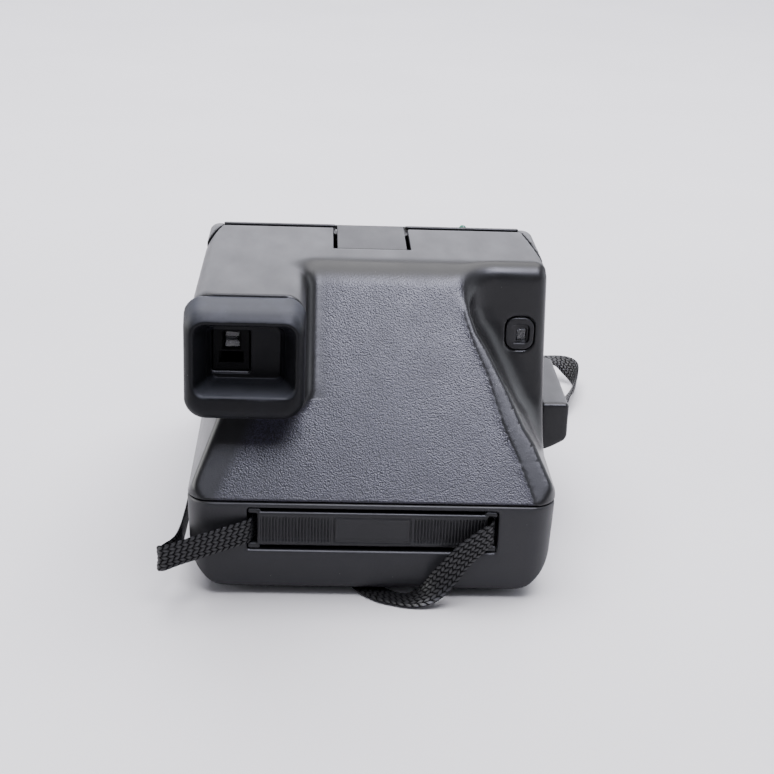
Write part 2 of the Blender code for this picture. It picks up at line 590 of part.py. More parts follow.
def build_drive():
    cylinder("drive_motor", (GEAR_X, 63.0, 42.0), 6.3, 26.0, "Y", "steel", sides=24)
    gear("motor_pinion", "motor_axis", 8, 0.0, "white_plastic")
    gear("idler_gear", "idler_axis", 18, 1.5, "white_plastic")
    gear("cam_gear", "cam_axis", 22, 1.5, "white_plastic")
    plate = box("gear_plate", (41.0, 52.6), (80.4, 81.8), (37.0, 68.0), "black_plastic")
    for name in ("idler_axis", "cam_axis"):
        spot = (GEAR_X, 78.9, JOINT_AXES[name][2])
        join(plate, cylinder(name + "_stud", spot, 1.2, 4.4, "Y", sides=16))
    arm = [(14.0, 22.0), (17.0, 22.0), (17.0, 25.6), (72.0, 25.6), (72.0, 28.2), (14.0, 28.2)]
    prism("pick_arm", arm, "X", 48.6, 50.4, "steel")
    box("main_board", (-44.0, 40.0), (99.0, 100.6), (33.5, 48.0), "circuit_board")
    for word, x in (("left", (-14.0, -9.0)), ("right", (9.0, 14.0))):
        leaf = [(22.0, 4.9), (44.0, 4.9), (44.0, 5.4), (40.0, 6.3), (36.0, 6.3), (22.0, 5.4)]
        prism("battery_contact_" + word, leaf, "X", *x, "copper")


# ---- strap --------------------------------------------------------------------------------
# Points along the strap from the left slot to the right one: x, y, z and the tilt of its width,
# 0 lying flat and 90 standing on edge. A point with no z rests on the table.
STRAP_ROUTE = [
    (-32.0, 3.85, 22.7, 90), (-35.4, 3.7, 22.7, 90), (-37.0, 2.2, 22.6, 90), (-37.5, 0.1, 22.4, 90),
    (-39.6, -1.6, 22.0, 90), (-44.5, -3.3, 21.0, 90), (-51.0, -5.0, 19.4, 90), (-58.4, -6.8, 17.5, 90),
    (-63.2, -7.6, 16.0, 90), (-65.0, -6.2, 15.2, 90), (-63.9, -4.2, 15.0, 90), (-60.9, 0.5, 15.4, 90),
    (-59.9, 10.0, 14.2, 90), (-60.0, 30.0, 10.5, 90), (-60.4, 55.0, 7.0, 90), (-60.8, 80.0, None, 90),
    (-61.2, 110.0, None, 90), (-61.6, 140.0, None, 90), (-59.0, 162.0, None, 90),
    (-46.0, 176.0, None, 90), (-20.0, 179.0, None, 90), (12.0, 180.0, None, 90),
    (38.0, 183.0, None, 90), (58.0, 193.0, None, 90), (40.0, 203.0, None, 90), (12.0, 205.5, None, 90),
    (-20.0, 206.0, None, 90), (-44.0, 209.0, None, 90), (-57.0, 219.0, None, 90),
    (-44.0, 229.0, None, 90), (-18.0, 231.0, None, 85), (12.0, 227.0, None, 70),
    (40.0, 219.0, 4.2, 40), (62.0, 210.0, 5.2, 16), (75.0, 205.5, 7.2, 5), (82.5, 203.5, 8.2, 6),
    (88.2, 201.0, 7.8, 26), (91.4, 196.5, 6.2, 56), (92.4, 190.0, None, 80), (90.8, 182.0, None, 80),
    (87.0, 173.0, None, 58), (81.0, 161.0, None, 25), (73.5, 146.0, None, 5),
    (65.5, 128.0, None, 0), (59.0, 110.0, None, 0), (49.0, 90.0, None, 0), (36.0, 71.0, None, 0),
    (22.0, 54.0, None, 0), (8.0, 38.0, None, 0), (-1.5, 22.0, None, 0), (-2.5, 8.0, None, 0),
    (3.0, 0.0, None, 0), (9.5, -3.4, 1.0, 0), (14.3, -4.6, 2.0, 16), (19.0, -5.0, 4.9, 45),
    (23.3, -4.8, 9.9, 72), (28.0, -4.0, 15.9, 86), (33.2, -2.8, 20.4, 90), (36.9, -1.0, 22.4, 90),
    (37.6, 0.8, 22.8, 90), (37.4, 2.6, 22.9, 90), (35.6, 3.8, 23.0, 90), (32.0, 3.9, 23.0, 90),
]
STRAP_STEP = 14.0              # the longest stretch between two cross-sections


def resting_height(tilt):
    """The strap's middle when its lowest side lies on the table."""
    slant = math.radians(tilt)
    return STRAP_LIFT + STRAP_WIDTH / 2 * math.sin(slant) + STRAP_THICK / 2 * math.cos(slant)


def strap_stations():
    """Points and tilts along a smooth curve through the route."""
    route = [Vector((x, y, resting_height(tilt) if z is None else z, tilt))
             for x, y, z, tilt in STRAP_ROUTE]
    route = [route[0]] + route + [route[-1]]
    stations = []
    for before, start, end, after in zip(route, route[1:], route[2:], route[3:]):
        pieces = max(1, round((end.xyz - start.xyz).length / STRAP_STEP))
        for number in range(pieces):
            t = number / pieces
            stations.append(0.5 * (2 * start + (end - before) * t
                                   + (2 * before - 5 * start + 4 * end - after) * t ** 2
                                   + (3 * start - before - 3 * end + after) * t ** 3))
    return stations + [route[-1]]


def build_strap():
    """The woven strap: a flat section carried along the route and tilted as it goes."""
    stations = strap_stations()
    shape = bmesh.new()
    rings = []
    for index, station in enumerate(stations):
        ahead = stations[min(index + 1, len(stations) - 1)].xyz
        tangent = (ahead - stations[max(index - 1, 0)].xyz).normalized()
        level = Vector((0, 0, 1)).cross(tangent).normalized()
        upright = tangent.cross(level)
        slant = math.radians(station.w)
        across = level * math.cos(slant) + upright * math.sin(slant)
        outward = tangent.cross(across)
        ring = []
        for a, b in ((-1, -1), (1, -1), (1, 1), (-1, 1)):
            corner = station.xyz + across * (a * STRAP_WIDTH / 2) + outward * (b * STRAP_THICK / 2)
            ring.append(shape.verts.new(corner * MM))
        rings.append(ring)
    for one, two in zip(rings, rings[1:]):
        for k in range(4):
            shape.faces.new((one[k], one[(k + 1) % 4], two[(k + 1) % 4], two[k]))
    shape.faces.new(rings[0][::-1])
    shape.faces.new(rings[-1])
    bmesh.ops.recalc_face_normals(shape, faces=shape.faces)
    new_object("strap", shape, "strap_nylon", None)


build_upper_shell()
build_hinge_cover()
build_base()
build_feet()
build_strap_bar()
build_viewfinder()
build_front_housing()
build_lens()
build_light_chamber()
build_flash()
build_film_door()
build_rollers()
build_door_latch()
build_grip()
build_counter()
build_drive()
build_strap()
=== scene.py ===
"""The looks of the instant camera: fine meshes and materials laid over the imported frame.

Lengths in the shape functions are millimetres in the case frame of the CAD: x = 0 is the middle
of the case, y = 0 its rear face and z = 0 the table. place() turns them into the frame's metres.
A moulding is written as a distance field, negative inside the plastic, and then meshed.
"""
import math

import bpy
import numpy as np
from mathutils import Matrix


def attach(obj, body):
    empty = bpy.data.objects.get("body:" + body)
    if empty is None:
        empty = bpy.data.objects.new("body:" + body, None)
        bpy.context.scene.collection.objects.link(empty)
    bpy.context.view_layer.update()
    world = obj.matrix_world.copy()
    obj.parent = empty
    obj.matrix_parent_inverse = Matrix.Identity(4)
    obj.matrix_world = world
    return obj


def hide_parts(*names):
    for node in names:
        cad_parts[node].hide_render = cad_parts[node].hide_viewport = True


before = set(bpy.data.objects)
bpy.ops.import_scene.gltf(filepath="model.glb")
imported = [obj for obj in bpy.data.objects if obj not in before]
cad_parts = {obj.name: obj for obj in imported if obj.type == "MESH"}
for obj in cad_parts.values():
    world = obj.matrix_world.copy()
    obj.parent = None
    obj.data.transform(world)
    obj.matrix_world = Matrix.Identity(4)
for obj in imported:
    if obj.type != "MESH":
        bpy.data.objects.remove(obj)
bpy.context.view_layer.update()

import openvdb
from mathutils import Matrix, Vector

MM = 0.001
CASE_TO_ROW = np.array((-4.95, -72.0, 0.0))

# ---- driving dimensions: the CAD's, apart from two rounder radii --------------------------
HALF_WIDTH = 57.5
CREASE_Z = 31.3
TOP_Z = 96.6
SLOPE_TOP_Y = 40.4
SHELL_FRONT_Y = 83.9
SIDE_DRAFT = 0.032
PLAN_RADIUS = 9.0              # the CAD has 8.0
WALL = 2.4
BASE_BOTTOM_Z = 2.2
BASE_TOP_Z = 31.2
BASE_ROUND = 14.0              # the CAD has 11.0
RECESS_WALL_Y = 43.0
FINDER_RIGHT_X = -21.7
FINDER_REAR_Y = 5.0
FINDER_BOTTOM_Z = 58.0
WING_GAP_X = 50.9
TONGUE_SLOT = (-13.2, 12.0)
TONGUE_GAP = 1.1
FLASH_AXIS = (88.4, 92.6)
FLASH_BORE_RADIUS = 1.8
DOOR_AXIS = (121.5, 5.0)
DOOR_BORE_RADIUS = 1.5
LENS_Z = 66.0
SLOPE_LENGTH = math.hypot(TOP_Z - CREASE_Z, SLOPE_TOP_Y)
SLOPE_SIN = SLOPE_TOP_Y / SLOPE_LENGTH
SLOPE_COS = (TOP_Z - CREASE_Z) / SLOPE_LENGTH

# The slope seen from behind, as (z, x): its ridge beside the thumb hollow, and the two sides of
# its grained panel.
RIDGE = [(33.0, 58.0), (40.7, 54.0), (47.8, 50.4), (52.1, 47.3), (63.1, 41.6), (73.9, 35.3),
         (78.0, 32.4), (83.0, 30.4), (90.6, 29.7), (97.0, 29.7)]
PANEL_RIGHT = [(30.0, 51.0), (34.5, 49.4), (44.2, 45.2), (52.0, 41.0), (67.2, 35.3), (74.5, 31.5),
               (81.7, 28.5), (88.0, 27.7), (97.0, 27.5)]
PANEL_LEFT = [(30.0, -50.6), (36.0, -47.6), (44.0, -43.6), (52.0, -39.6), (57.0, -36.6),
              (59.5, -17.2), (97.0, -18.4)]


def place(points):
    """Points in the case frame's millimetres, as metres in the row's frame."""
    return (np.asarray(points, dtype=float) + CASE_TO_ROW) * MM


# ---- camera -------------------------------------------------------------------------------
CAMERA_SPOT = (-0.02295, -0.519, 0.238)
CAMERA_TURNS = (-2.70, 20.55, 2.12)     # yaw, pitch and roll in degrees
CAMERA_LENS = 74.42


def add_camera():
    yaw, pitch, roll = (math.radians(turn) for turn in CAMERA_TURNS)
    forward = Vector((-math.sin(yaw) * math.cos(pitch), math.cos(yaw) * math.cos(pitch),
                      -math.sin(pitch)))
    level = Vector((math.cos(yaw), math.sin(yaw), 0.0))
    upright = level.cross(forward)
    right = level * math.cos(roll) + upright * math.sin(roll)
    up = upright * math.cos(roll) - level * math.sin(roll)
    data = bpy.data.cameras.new("photo_camera")
    data.sensor_width = 36.0
    data.lens = CAMERA_LENS
    data.clip_start = 0.01
    camera = bpy.data.objects.new("photo_camera", data)
    bpy.context.scene.collection.objects.link(camera)
    axes = Matrix((right, up, -forward)).transposed().to_4x4()
    camera.matrix_world = Matrix.Translation(CAMERA_SPOT) @ axes
    bpy.context.scene.camera = camera


# ---- tools for pieces ---------------------------------------------------------------------
def smax(a, b, r=0.0):
    """The larger of two fields, with the outer corner between them rounded to radius r."""
    return np.minimum(np.maximum(a, b), -r) + np.hypot(np.maximum(a + r, 0.0), np.maximum(b + r, 0.0))


def smin(a, b, r=0.0):
    """The smaller of two fields, with a fillet of radius r where they meet."""
    return np.maximum(np.minimum(a, b), r) - np.hypot(np.maximum(r - a, 0.0), np.maximum(r - b, 0.0))


def cut(solid, tool, r=0.0):
    return smax(solid, -tool, r)


def slab(v, low, high):
    return np.abs(v - (low + high) / 2) - (high - low) / 2


def block(x, y, z, spans, r=0.0):
    """A box from three (low, high) spans, with edges rounded to radius r."""
    return smax(smax(slab(x, *spans[0]), slab(z, *spans[2]), r), slab(y, *spans[1]), r)


def outline(u, v, points, r=0.0, closed=True):
    """A convex outline: its inside lies to the left of each edge from point to point."""
    ends = points[1:] + points[:1] if closed else points[1:]
    field = None
    for (pu, pv), (qu, qv) in zip(points, ends):
        side = ((u - pu) * (qv - pv) - (v - pv) * (qu - pu)) / math.hypot(qu - pu, qv - pv)
        field = side if field is None else smax(field, side, r)
    return field


def disc(u, v, centre, radius):
    return np.hypot(u - centre[0], v - centre[1]) - radius


def ramp(v, start, end):
    """0 before start and 1 after end, with a smooth change between them."""
    t = np.clip((v - start) / (end - start), 0.0, 1.0)
    return t * t * (3.0 - 2.0 * t)


def follow(z, table):
    """The x of a table of (z, x) points at the heights z."""
    heights, places = zip(*table)
    return np.interp(z, heights, places)


def finish_piece(item, body, slot, *nodes):
    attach(item, body)
    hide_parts(*nodes)
    item.data.materials.append(materials[slot])


def link_mesh(name, mesh):
    item = bpy.data.objects.new(name, mesh)
    bpy.context.scene.collection.objects.link(item)
    return item


FLAT_MERGE = 0.01      # how readily the mesher joins faces that lie nearly flat


def moulding(name, field, low, high, step):
    """Meshes the surface where field(x, y, z) is zero, inside the box from low to high."""
    step = np.broadcast_to(step, 3)
    axes = [np.arange(a - 2 * size, b + 3 * size, size) for a, b, size in zip(low, high, step)]
    x, y, z = np.meshgrid(*axes, indexing="ij", sparse=True)
    depth = np.broadcast_to(field(x, y, z) / step.max(), [len(axis) for axis in axes])
    grid = openvdb.FloatGrid(3.0)
    grid.copyFromArray(np.ascontiguousarray(np.clip(depth, -3.0, 3.0), dtype=np.float32))
    points, triangles, quads = grid.convertToPolygons(isovalue=0.0, adaptivity=FLAT_MERGE)
    points = points * step + [axis[0] for axis in axes]
    mesh = bpy.data.meshes.new(name)
    mesh.from_pydata(place(points).tolist(), [], triangles[:, ::-1].tolist() + quads[:, ::-1].tolist())
    mesh.shade_smooth()
    return link_mesh(name, mesh)


# ---- materials ----------------------------------------------------------------------------
class Shader:
    """A Principled material whose nodes are added by short calls."""

    def __init__(self, name, metallic=0.0):
        self.material = bpy.data.materials.new(name)
        self.material.use_nodes = True
        self.tree = self.material.node_tree
        self.surface = self.tree.nodes["Principled BSDF"]
        self.surface.inputs["Metallic"].default_value = metallic
        self.place = self.add("TexCoord").outputs["Object"]

    def put(self, socket, value):
        if isinstance(value, bpy.types.NodeSocket):
            self.tree.links.new(value, socket)
        else:
            socket.default_value = value

    def add(self, kind, inputs=None, **settings):
        node = self.tree.nodes.new("ShaderNode" + kind)
        for key, value in settings.items():
            setattr(node, key, value)
        for key, value in (inputs or {}).items():
            self.put(node.inputs[key], value)
        return node

    def sums(self, operation, *values):
        """A Math node; the values are numbers or sockets."""
        node = self.add("Math", operation=operation)
        for socket, value in zip(node.inputs, values):
            self.put(socket, value)
        return node.outputs[0]

    def remap(self, value, low, high, start=0.0, end=1.0):
        node = self.add("MapRange", {"Value": value, "From Min": low, "From Max": high,
                                     "To Min": start, "To Max": end})
        return node.outputs[0]

    def blend(self, factor, one, two):
        """A colour between two colours."""
        node = self.add("Mix", data_type="RGBA")
        self.put(node.inputs[0], factor)
        for index, colour in ((6, one), (7, two)):
            self.put(node.inputs[index], (*colour, 1.0) if isinstance(colour, tuple) else colour)
        return node.outputs[2]

    def noise(self, size, detail=2.0, stretch=None):
        """Noise with features of a size in millimetres, stretched along the axes."""
        vector = self.place
        if stretch:
            vector = self.add("Mapping", {"Vector": vector, "Scale": stretch}).outputs[0]
        node = self.add("TexNoise", {"Vector": vector, "Scale": 1000.0 / size, "Detail": detail})
        return node.outputs["Fac"]

    def pebbles(self, size):
        """The distance to the nearest of scattered points, smooth between them."""
        node = self.add("TexVoronoi", {"Vector": self.place, "Scale": 1000.0 / size},
                        feature="SMOOTH_F1")
        return node.outputs["Distance"]

    def bump(self, height, depth, strength=1.0, after=None):
        """Relief of a depth in millimetres, on top of another relief."""
        node = self.add("Bump", {"Height": height, "Distance": depth * MM, "Strength": strength})
        if after is not None:
            self.put(node.inputs["Normal"], after)
        return node.outputs[0]

    def edges(self, radius):
        """0 on open surfaces and up to 1 along outer and inner edges."""
        soft = self.add("Bevel", {"Radius": radius * MM}, samples=4).outputs[0]
        hard = self.add("NewGeometry").outputs["Normal"]
        node = self.add("VectorMath", operation="DOT_PRODUCT")
        self.put(node.inputs[0], soft)
        self.put(node.inputs[1], hard)
        return self.remap(node.outputs["Value"], 0.995, 0.80)

    def dust(self, size=2.4, speck=0.05):
        """Sparse tiny specks."""
        node = self.add("TexVoronoi", {"Vector": self.place, "Scale": 1000.0 / size})
        near = self.remap(node.outputs["Distance"], speck, speck * 0.55)
        chance = self.add("SeparateColor", {"Color": node.outputs["Color"]}).outputs[0]
        return self.sums("MULTIPLY", near, self.sums("GREATER_THAN", chance, 0.84))

    def finish(self, colour, roughness, normal):
        self.put(self.surface.inputs["Base Color"], colour)
        self.put(self.surface.inputs["Roughness"], roughness)
        self.put(self.surface.inputs["Normal"], normal)
        return self.material


def shade(colour, factor):
    return tuple(min(1.0, channel * factor) for channel in colour)


def plastic(name, colour, roughness, grain=0.45, depth=0.03, wear=0.35, dust=0.25, gloss=0.2):
    """Moulded plastic with a fine spark-eroded grain, soft clouds, worn edges and some dust."""
    paint = Shader(name)
    paint.surface.inputs["Specular IOR Level"].default_value = gloss
    clouds = paint.noise(34.0, 4.0)
    grains = paint.noise(grain, 2.0)
    tone = paint.blend(paint.remap(clouds, 0.3, 0.7), shade(colour, 0.94), shade(colour, 1.07))
    tone = paint.blend(paint.remap(grains, 0.35, 0.65, 0.0, 0.35), tone, shade(colour, 0.6))
    rubbed = paint.sums("MULTIPLY", paint.edges(0.7), paint.remap(paint.noise(6.0, 5.0), 0.38, 0.66))
    tone = paint.blend(paint.sums("MULTIPLY", rubbed, wear), tone, shade(colour, 3.2))
    tone = paint.blend(paint.sums("MULTIPLY", paint.dust(), dust), tone, (0.45, 0.45, 0.44))
    smears = paint.noise(9.0, 5.0, (1.0, 0.4, 1.0))
    rough = paint.remap(smears, 0.3, 0.75, roughness + 0.05, roughness - 0.06)
    rough = paint.sums("SUBTRACT", rough, paint.sums("MULTIPLY", rubbed, 0.12))
    relief = paint.bump(grains, depth, 0.7)
    relief = paint.bump(paint.noise(2.4, 2.0), depth * 0.8, 0.3, relief)
    return paint.finish(tone, rough, relief)


def curve_node(paint, height, table, low, high):
    """The x of a table of (z, x) points, as nodes; it lies between low and high, in millimetres."""
    bottom, top = table[0][0], table[-1][0]
    node = paint.add("FloatCurve")
    curve = node.mapping.curves[0]
    spans = [((z - bottom) / (top - bottom), (x - low) / (high - low)) for z, x in table]
    curve.points[0].location = spans[0]
    curve.points[1].location = spans[-1]
    for spot in spans[1:-1]:
        curve.points.new(*spot)
    for point in curve.points:
        point.handle_type = "VECTOR"
    node.mapping.update()
    paint.put(node.inputs["Value"], paint.remap(height, bottom, top))
    return paint.remap(node.outputs[0], 0.0, 1.0, low, high)


def shell_plastic(name, colour, roughness):
    """The upper mouldings' plastic, with the coarse leather-like grain of the slope's panel, painted
    lighter on its pebbles and darker between them, in a blue tint that is painted sheen.
    """
    paint = Shader(name)
    split = paint.add("SeparateXYZ", {"Vector": paint.place})
    x, y, z = (paint.sums("SUBTRACT", paint.sums("MULTIPLY", split.outputs[k], 1000.0), CASE_TO_ROW[k])
               for k in range(3))
    above = paint.sums("SUBTRACT", paint.sums("MULTIPLY", paint.sums("SUBTRACT", z, CREASE_Z), SLOPE_SIN),
                       paint.sums("MULTIPLY", y, SLOPE_COS))
    right = curve_node(paint, z, PANEL_RIGHT, 20.0, 60.0)
    left = curve_node(paint, z, PANEL_LEFT, -60.0, -10.0)
    panel = paint.remap(paint.sums("SUBTRACT", right, x), 0.0, 0.7)
    for mask in (paint.remap(paint.sums("SUBTRACT", x, left), -0.5, 3.5),
                 paint.remap(above, 0.5, 0.0), paint.remap(above, -1.6, -0.9),
                 paint.remap(z, 95.5, 90.5), paint.remap(z, 31.0, 32.0)):
        panel = paint.sums("MULTIPLY", panel, mask)
    clouds = paint.noise(34.0, 4.0)
    fine = paint.noise(0.42, 2.0)
    skin = paint.pebbles(0.42)
    mottle = paint.noise(0.40, 2.0)
    domes = paint.remap(skin, 0.05, 0.75, 1.0, 0.0)
    leather = paint.sums("ADD", domes, paint.sums("MULTIPLY", mottle, 0.8))
    tone = paint.blend(paint.remap(clouds, 0.3, 0.7), shade(colour, 0.95), shade(colour, 1.05))
    tone = paint.blend(paint.remap(fine, 0.35, 0.65, 0.0, 0.3), tone, shade(colour, 0.62))
    # The panel's grain with painted light: pebble tops painted lighter, the gaps between them painted
    # darker, and a blue tint that stands for the blue sheen off the slope.
    sheen_blue_tint = (colour[0] * 1.5, colour[1] * 1.42, colour[2] * 2.2)
    grain_and_sheen_tone = paint.blend(paint.remap(leather, 0.6, 1.4), shade(sheen_blue_tint, 0.3), shade(sheen_blue_tint, 1.8))
    paint.put(paint.surface.inputs["Specular IOR Level"], paint.remap(panel, 0.0, 1.0, 0.26, 0.38))
    tone = paint.blend(panel, tone, grain_and_sheen_tone)
    rubbed = paint.sums("MULTIPLY", paint.edges(0.7), paint.remap(paint.noise(6.0, 5.0), 0.36, 0.66))
    tone = paint.blend(paint.sums("MULTIPLY", rubbed, 0.4), tone, shade(colour, 3.0))
    tone = paint.blend(paint.sums("MULTIPLY", paint.dust(), 0.3), tone, (0.5, 0.5, 0.5))
    smears = paint.noise(9.0, 5.0, (1.0, 0.4, 1.0))
    rough = paint.remap(smears, 0.3, 0.75, roughness + 0.05, roughness - 0.06)
    rough = paint.sums("ADD", rough, paint.sums("MULTIPLY", panel, 0.02))
    rough = paint.sums("SUBTRACT", rough, paint.sums("MULTIPLY", rubbed, 0.1))
    coarse = paint.bump(paint.sums("MULTIPLY", leather, panel), 0.06, 0.9)
    relief = paint.bump(fine, 0.03, 0.6, coarse)
    return paint.finish(tone, rough, relief)


def rubber(name, colour):
    """Rubber with a soft sheen, dust specks, and a pale tone on what faces up, partly bloom and partly
    painted light from above.
    """
    paint = Shader(name)
    paint.surface.inputs["Specular IOR Level"].default_value = 0.12
    bloom = paint.remap(paint.noise(7.0, 5.0), 0.42, 0.72)
    # A pale tone on what faces up in the world: partly bloom gathered there, partly painted light from
    # above.
    facing = paint.add("SeparateXYZ", {"Vector": paint.add("NewGeometry").outputs["Normal"]}).outputs[2]
    patchy = paint.remap(bloom, 0.0, 1.0, -0.12, 0.12)
    bloom_and_top_light = paint.remap(paint.sums("ADD", facing, patchy), 0.15, 0.95)
    tone = paint.blend(bloom, colour, shade(colour, 1.5))
    tone = paint.blend(bloom_and_top_light, tone, (0.070, 0.074, 0.092))
    tone = paint.blend(paint.sums("MULTIPLY", paint.dust(1.6, 0.07), 0.4), tone, (0.3, 0.31, 0.34))
    rubbed = paint.sums("MULTIPLY", paint.edges(0.5), 0.25)
    tone = paint.blend(rubbed, tone, shade(colour, 3.0))
    rough = paint.remap(bloom, 0.0, 1.0, 0.42, 0.56)
    relief = paint.bump(paint.noise(0.5, 3.0), 0.02, 0.5)
    relief = paint.bump(paint.noise(5.0, 2.0), 0.10, 0.25, relief)
    return paint.finish(tone, rough, relief)


SHADED_CLEAR_Y = (48.0, 50.0)     # clear pieces behind this are tinted dark as painted shade, and the change lies between


def clear(name):
    """Clear moulded plastic with a few smudges, tinted dark in the rear part of the case as painted shade
    that makes the windows there look dim.
    """
    paint = Shader(name)
    paint.surface.inputs["Transmission Weight"].default_value = 1.0
    paint.surface.inputs["Specular IOR Level"].default_value = 0.25
    paint.surface.inputs["IOR"].default_value = 1.49
    smudge = paint.remap(paint.noise(5.0, 5.0), 0.45, 0.75)
    tone = paint.blend(smudge, (0.90, 0.93, 0.94), (0.80, 0.83, 0.85))
    depth = paint.add("SeparateXYZ", {"Vector": paint.place}).outputs[1]
    behind, ahead = ((y + float(CASE_TO_ROW[1])) * MM for y in SHADED_CLEAR_Y)
    # Painted shade: behind the change the clear plastic is tinted dark, so the windows there look dim.
    tone = paint.blend(paint.remap(depth, behind, ahead), (0.22, 0.23, 0.25), tone)
    relief = paint.bump(paint.noise(3.0, 1.0), 0.01, 0.2)
    return paint.finish(tone, paint.remap(smudge, 0.0, 1.0, 0.03, 0.16), relief)


def tinted(name, colour, glow):
    """Tinted translucent plastic, as of a lamp's dome."""
    paint = Shader(name)
    paint.surface.inputs["Subsurface Weight"].default_value = glow
    paint.surface.inputs["Subsurface Scale"].default_value = 0.001
    clouds = paint.remap(paint.noise(1.2, 3.0), 0.35, 0.65)
    tone = paint.blend(clouds, shade(colour, 0.75), shade(colour, 1.3))
    rough = paint.remap(paint.noise(2.5, 4.0), 0.4, 0.7, 0.14, 0.3)
    return paint.finish(tone, rough, paint.bump(paint.noise(0.8), 0.01, 0.3))


def metal(name, colour, roughness, stretch):
    """Brushed metal: streaks along one axis, and faint stains."""
    paint = Shader(name, metallic=1.0)
    streaks = paint.noise(0.5, 4.0, stretch)
    stains = paint.remap(paint.noise(11.0, 5.0), 0.42, 0.75)
    tone = paint.blend(paint.remap(streaks, 0.3, 0.7), shade(colour, 0.82), shade(colour, 1.08))
    tone = paint.blend(paint.sums("MULTIPLY", stains, 0.4), tone, shade(colour, 0.55))
    rough = paint.remap(streaks, 0.3, 0.7, roughness - 0.07, roughness + 0.1)
    return paint.finish(tone, rough, paint.bump(streaks, 0.02, 0.4))


def mirror_glass(name):
    paint = Shader(name, metallic=1.0)
    haze = paint.remap(paint.noise(14.0, 4.0), 0.45, 0.8)
    tone = paint.blend(haze, (0.88, 0.89, 0.90), (0.74, 0.76, 0.78))
    return paint.finish(tone, paint.remap(haze, 0.0, 1.0, 0.02, 0.12), paint.bump(haze, 0.002, 0.2))


def circuit_board(name):
    """A green board with copper tracks under its lacquer."""
    colour = (0.008, 0.045, 0.022)
    paint = Shader(name)
    tracks = paint.add("TexBrick", {"Vector": paint.place, "Scale": 260.0, "Mortar Size": 0.07,
                                    "Brick Width": 1.3, "Row Height": 0.55}).outputs["Fac"]
    clouds = paint.remap(paint.noise(5.0, 3.0), 0.3, 0.7)
    tone = paint.blend(clouds, shade(colour, 0.8), shade(colour, 1.3))
    tone = paint.blend(paint.sums("MULTIPLY", tracks, 0.6), tone, (0.03, 0.10, 0.05))
    return paint.finish(tone, paint.remap(paint.noise(3.0, 3.0), 0.3, 0.7, 0.25, 0.45),
                        paint.bump(tracks, 0.05, 0.5))


# The strap's size and weave, shared by its material and its mesh.
STRAP_WIDTH = 8.0
STRAP_THICK = 1.2
COLUMNS = 7            # yarn rows across the strap
YARN_PITCH = 2.0       # the length of one float of a row, along the strap
ROW_SHIFT = 0.25       # from one row's floats to the next row's, in floats
YARN_LEAN = 0.22       # how far a float leans between its middle and its side, in floats
YARN_ROUND = 0.8       # how much a float falls away towards its sides


def strap_nylon(name, colour):
    """Black woven nylon: rows of short yarn floats, with fibres along them; their crowns are painted
    lighter and the gaps between them painted dark.
    """
    paint = Shader(name)
    weave = paint.add("Attribute", attribute_name="weave").outputs["Vector"]
    split = paint.add("SeparateXYZ", {"Vector": weave})
    row = paint.sums("MULTIPLY_ADD", split.outputs[1], COLUMNS / (STRAP_WIDTH * MM), COLUMNS / 2)
    column = paint.sums("FLOOR", row)
    inside = paint.sums("MULTIPLY_ADD", paint.sums("FRACT", row), 2.0, -1.0)
    turn = paint.sums("MULTIPLY_ADD", paint.sums("FLOORED_MODULO", column, 2.0), -2.0, 1.0)
    phase = paint.sums("MULTIPLY_ADD", split.outputs[0], 1.0 / (YARN_PITCH * MM),
                       paint.sums("MULTIPLY", column, ROW_SHIFT))
    phase = paint.sums("MULTIPLY_ADD", paint.sums("MULTIPLY", inside, turn), YARN_LEAN, phase)
    wave = paint.sums("MULTIPLY_ADD", paint.sums("FRACT", phase), 2.0, -1.0)
    along = paint.sums("SUBTRACT", 1.0, paint.sums("MULTIPLY", wave, wave))
    over = paint.sums("MULTIPLY_ADD", paint.sums("MULTIPLY", inside, inside), -YARN_ROUND, 1.0)
    crown = paint.sums("SQRT", paint.sums("MULTIPLY", along, over))
    fibres = paint.add("Mapping", {"Vector": weave, "Scale": (900.0, 9000.0, 1.0)}).outputs[0]
    thread = paint.add("TexNoise", {"Vector": fibres, "Scale": 1.0, "Detail": 3.0}).outputs["Fac"]
    fade = paint.remap(paint.noise(12.0, 4.0), 0.35, 0.7)
    # Painted highlight and shade: the floats' crowns painted lighter, the gaps between them painted near
    # black.
    tone = paint.blend(crown, shade(colour, 0.08), shade(colour, 3.2))
    tone = paint.blend(paint.sums("MULTIPLY", fade, 0.3), tone, shade(colour, 1.8))
    tone = paint.blend(paint.remap(thread, 0.3, 0.75, 0.0, 0.5), tone, shade(colour, 0.4))
    paint.put(paint.surface.inputs["Specular IOR Level"], paint.remap(crown, 0.35, 1.0, 0.0, 0.5))
    relief = paint.bump(crown, 0.5, 1.0)
    rough = paint.remap(thread, 0.3, 0.7, 0.34, 0.52)
    return paint.finish(tone, rough, paint.bump(thread, 0.04, 0.5, relief))


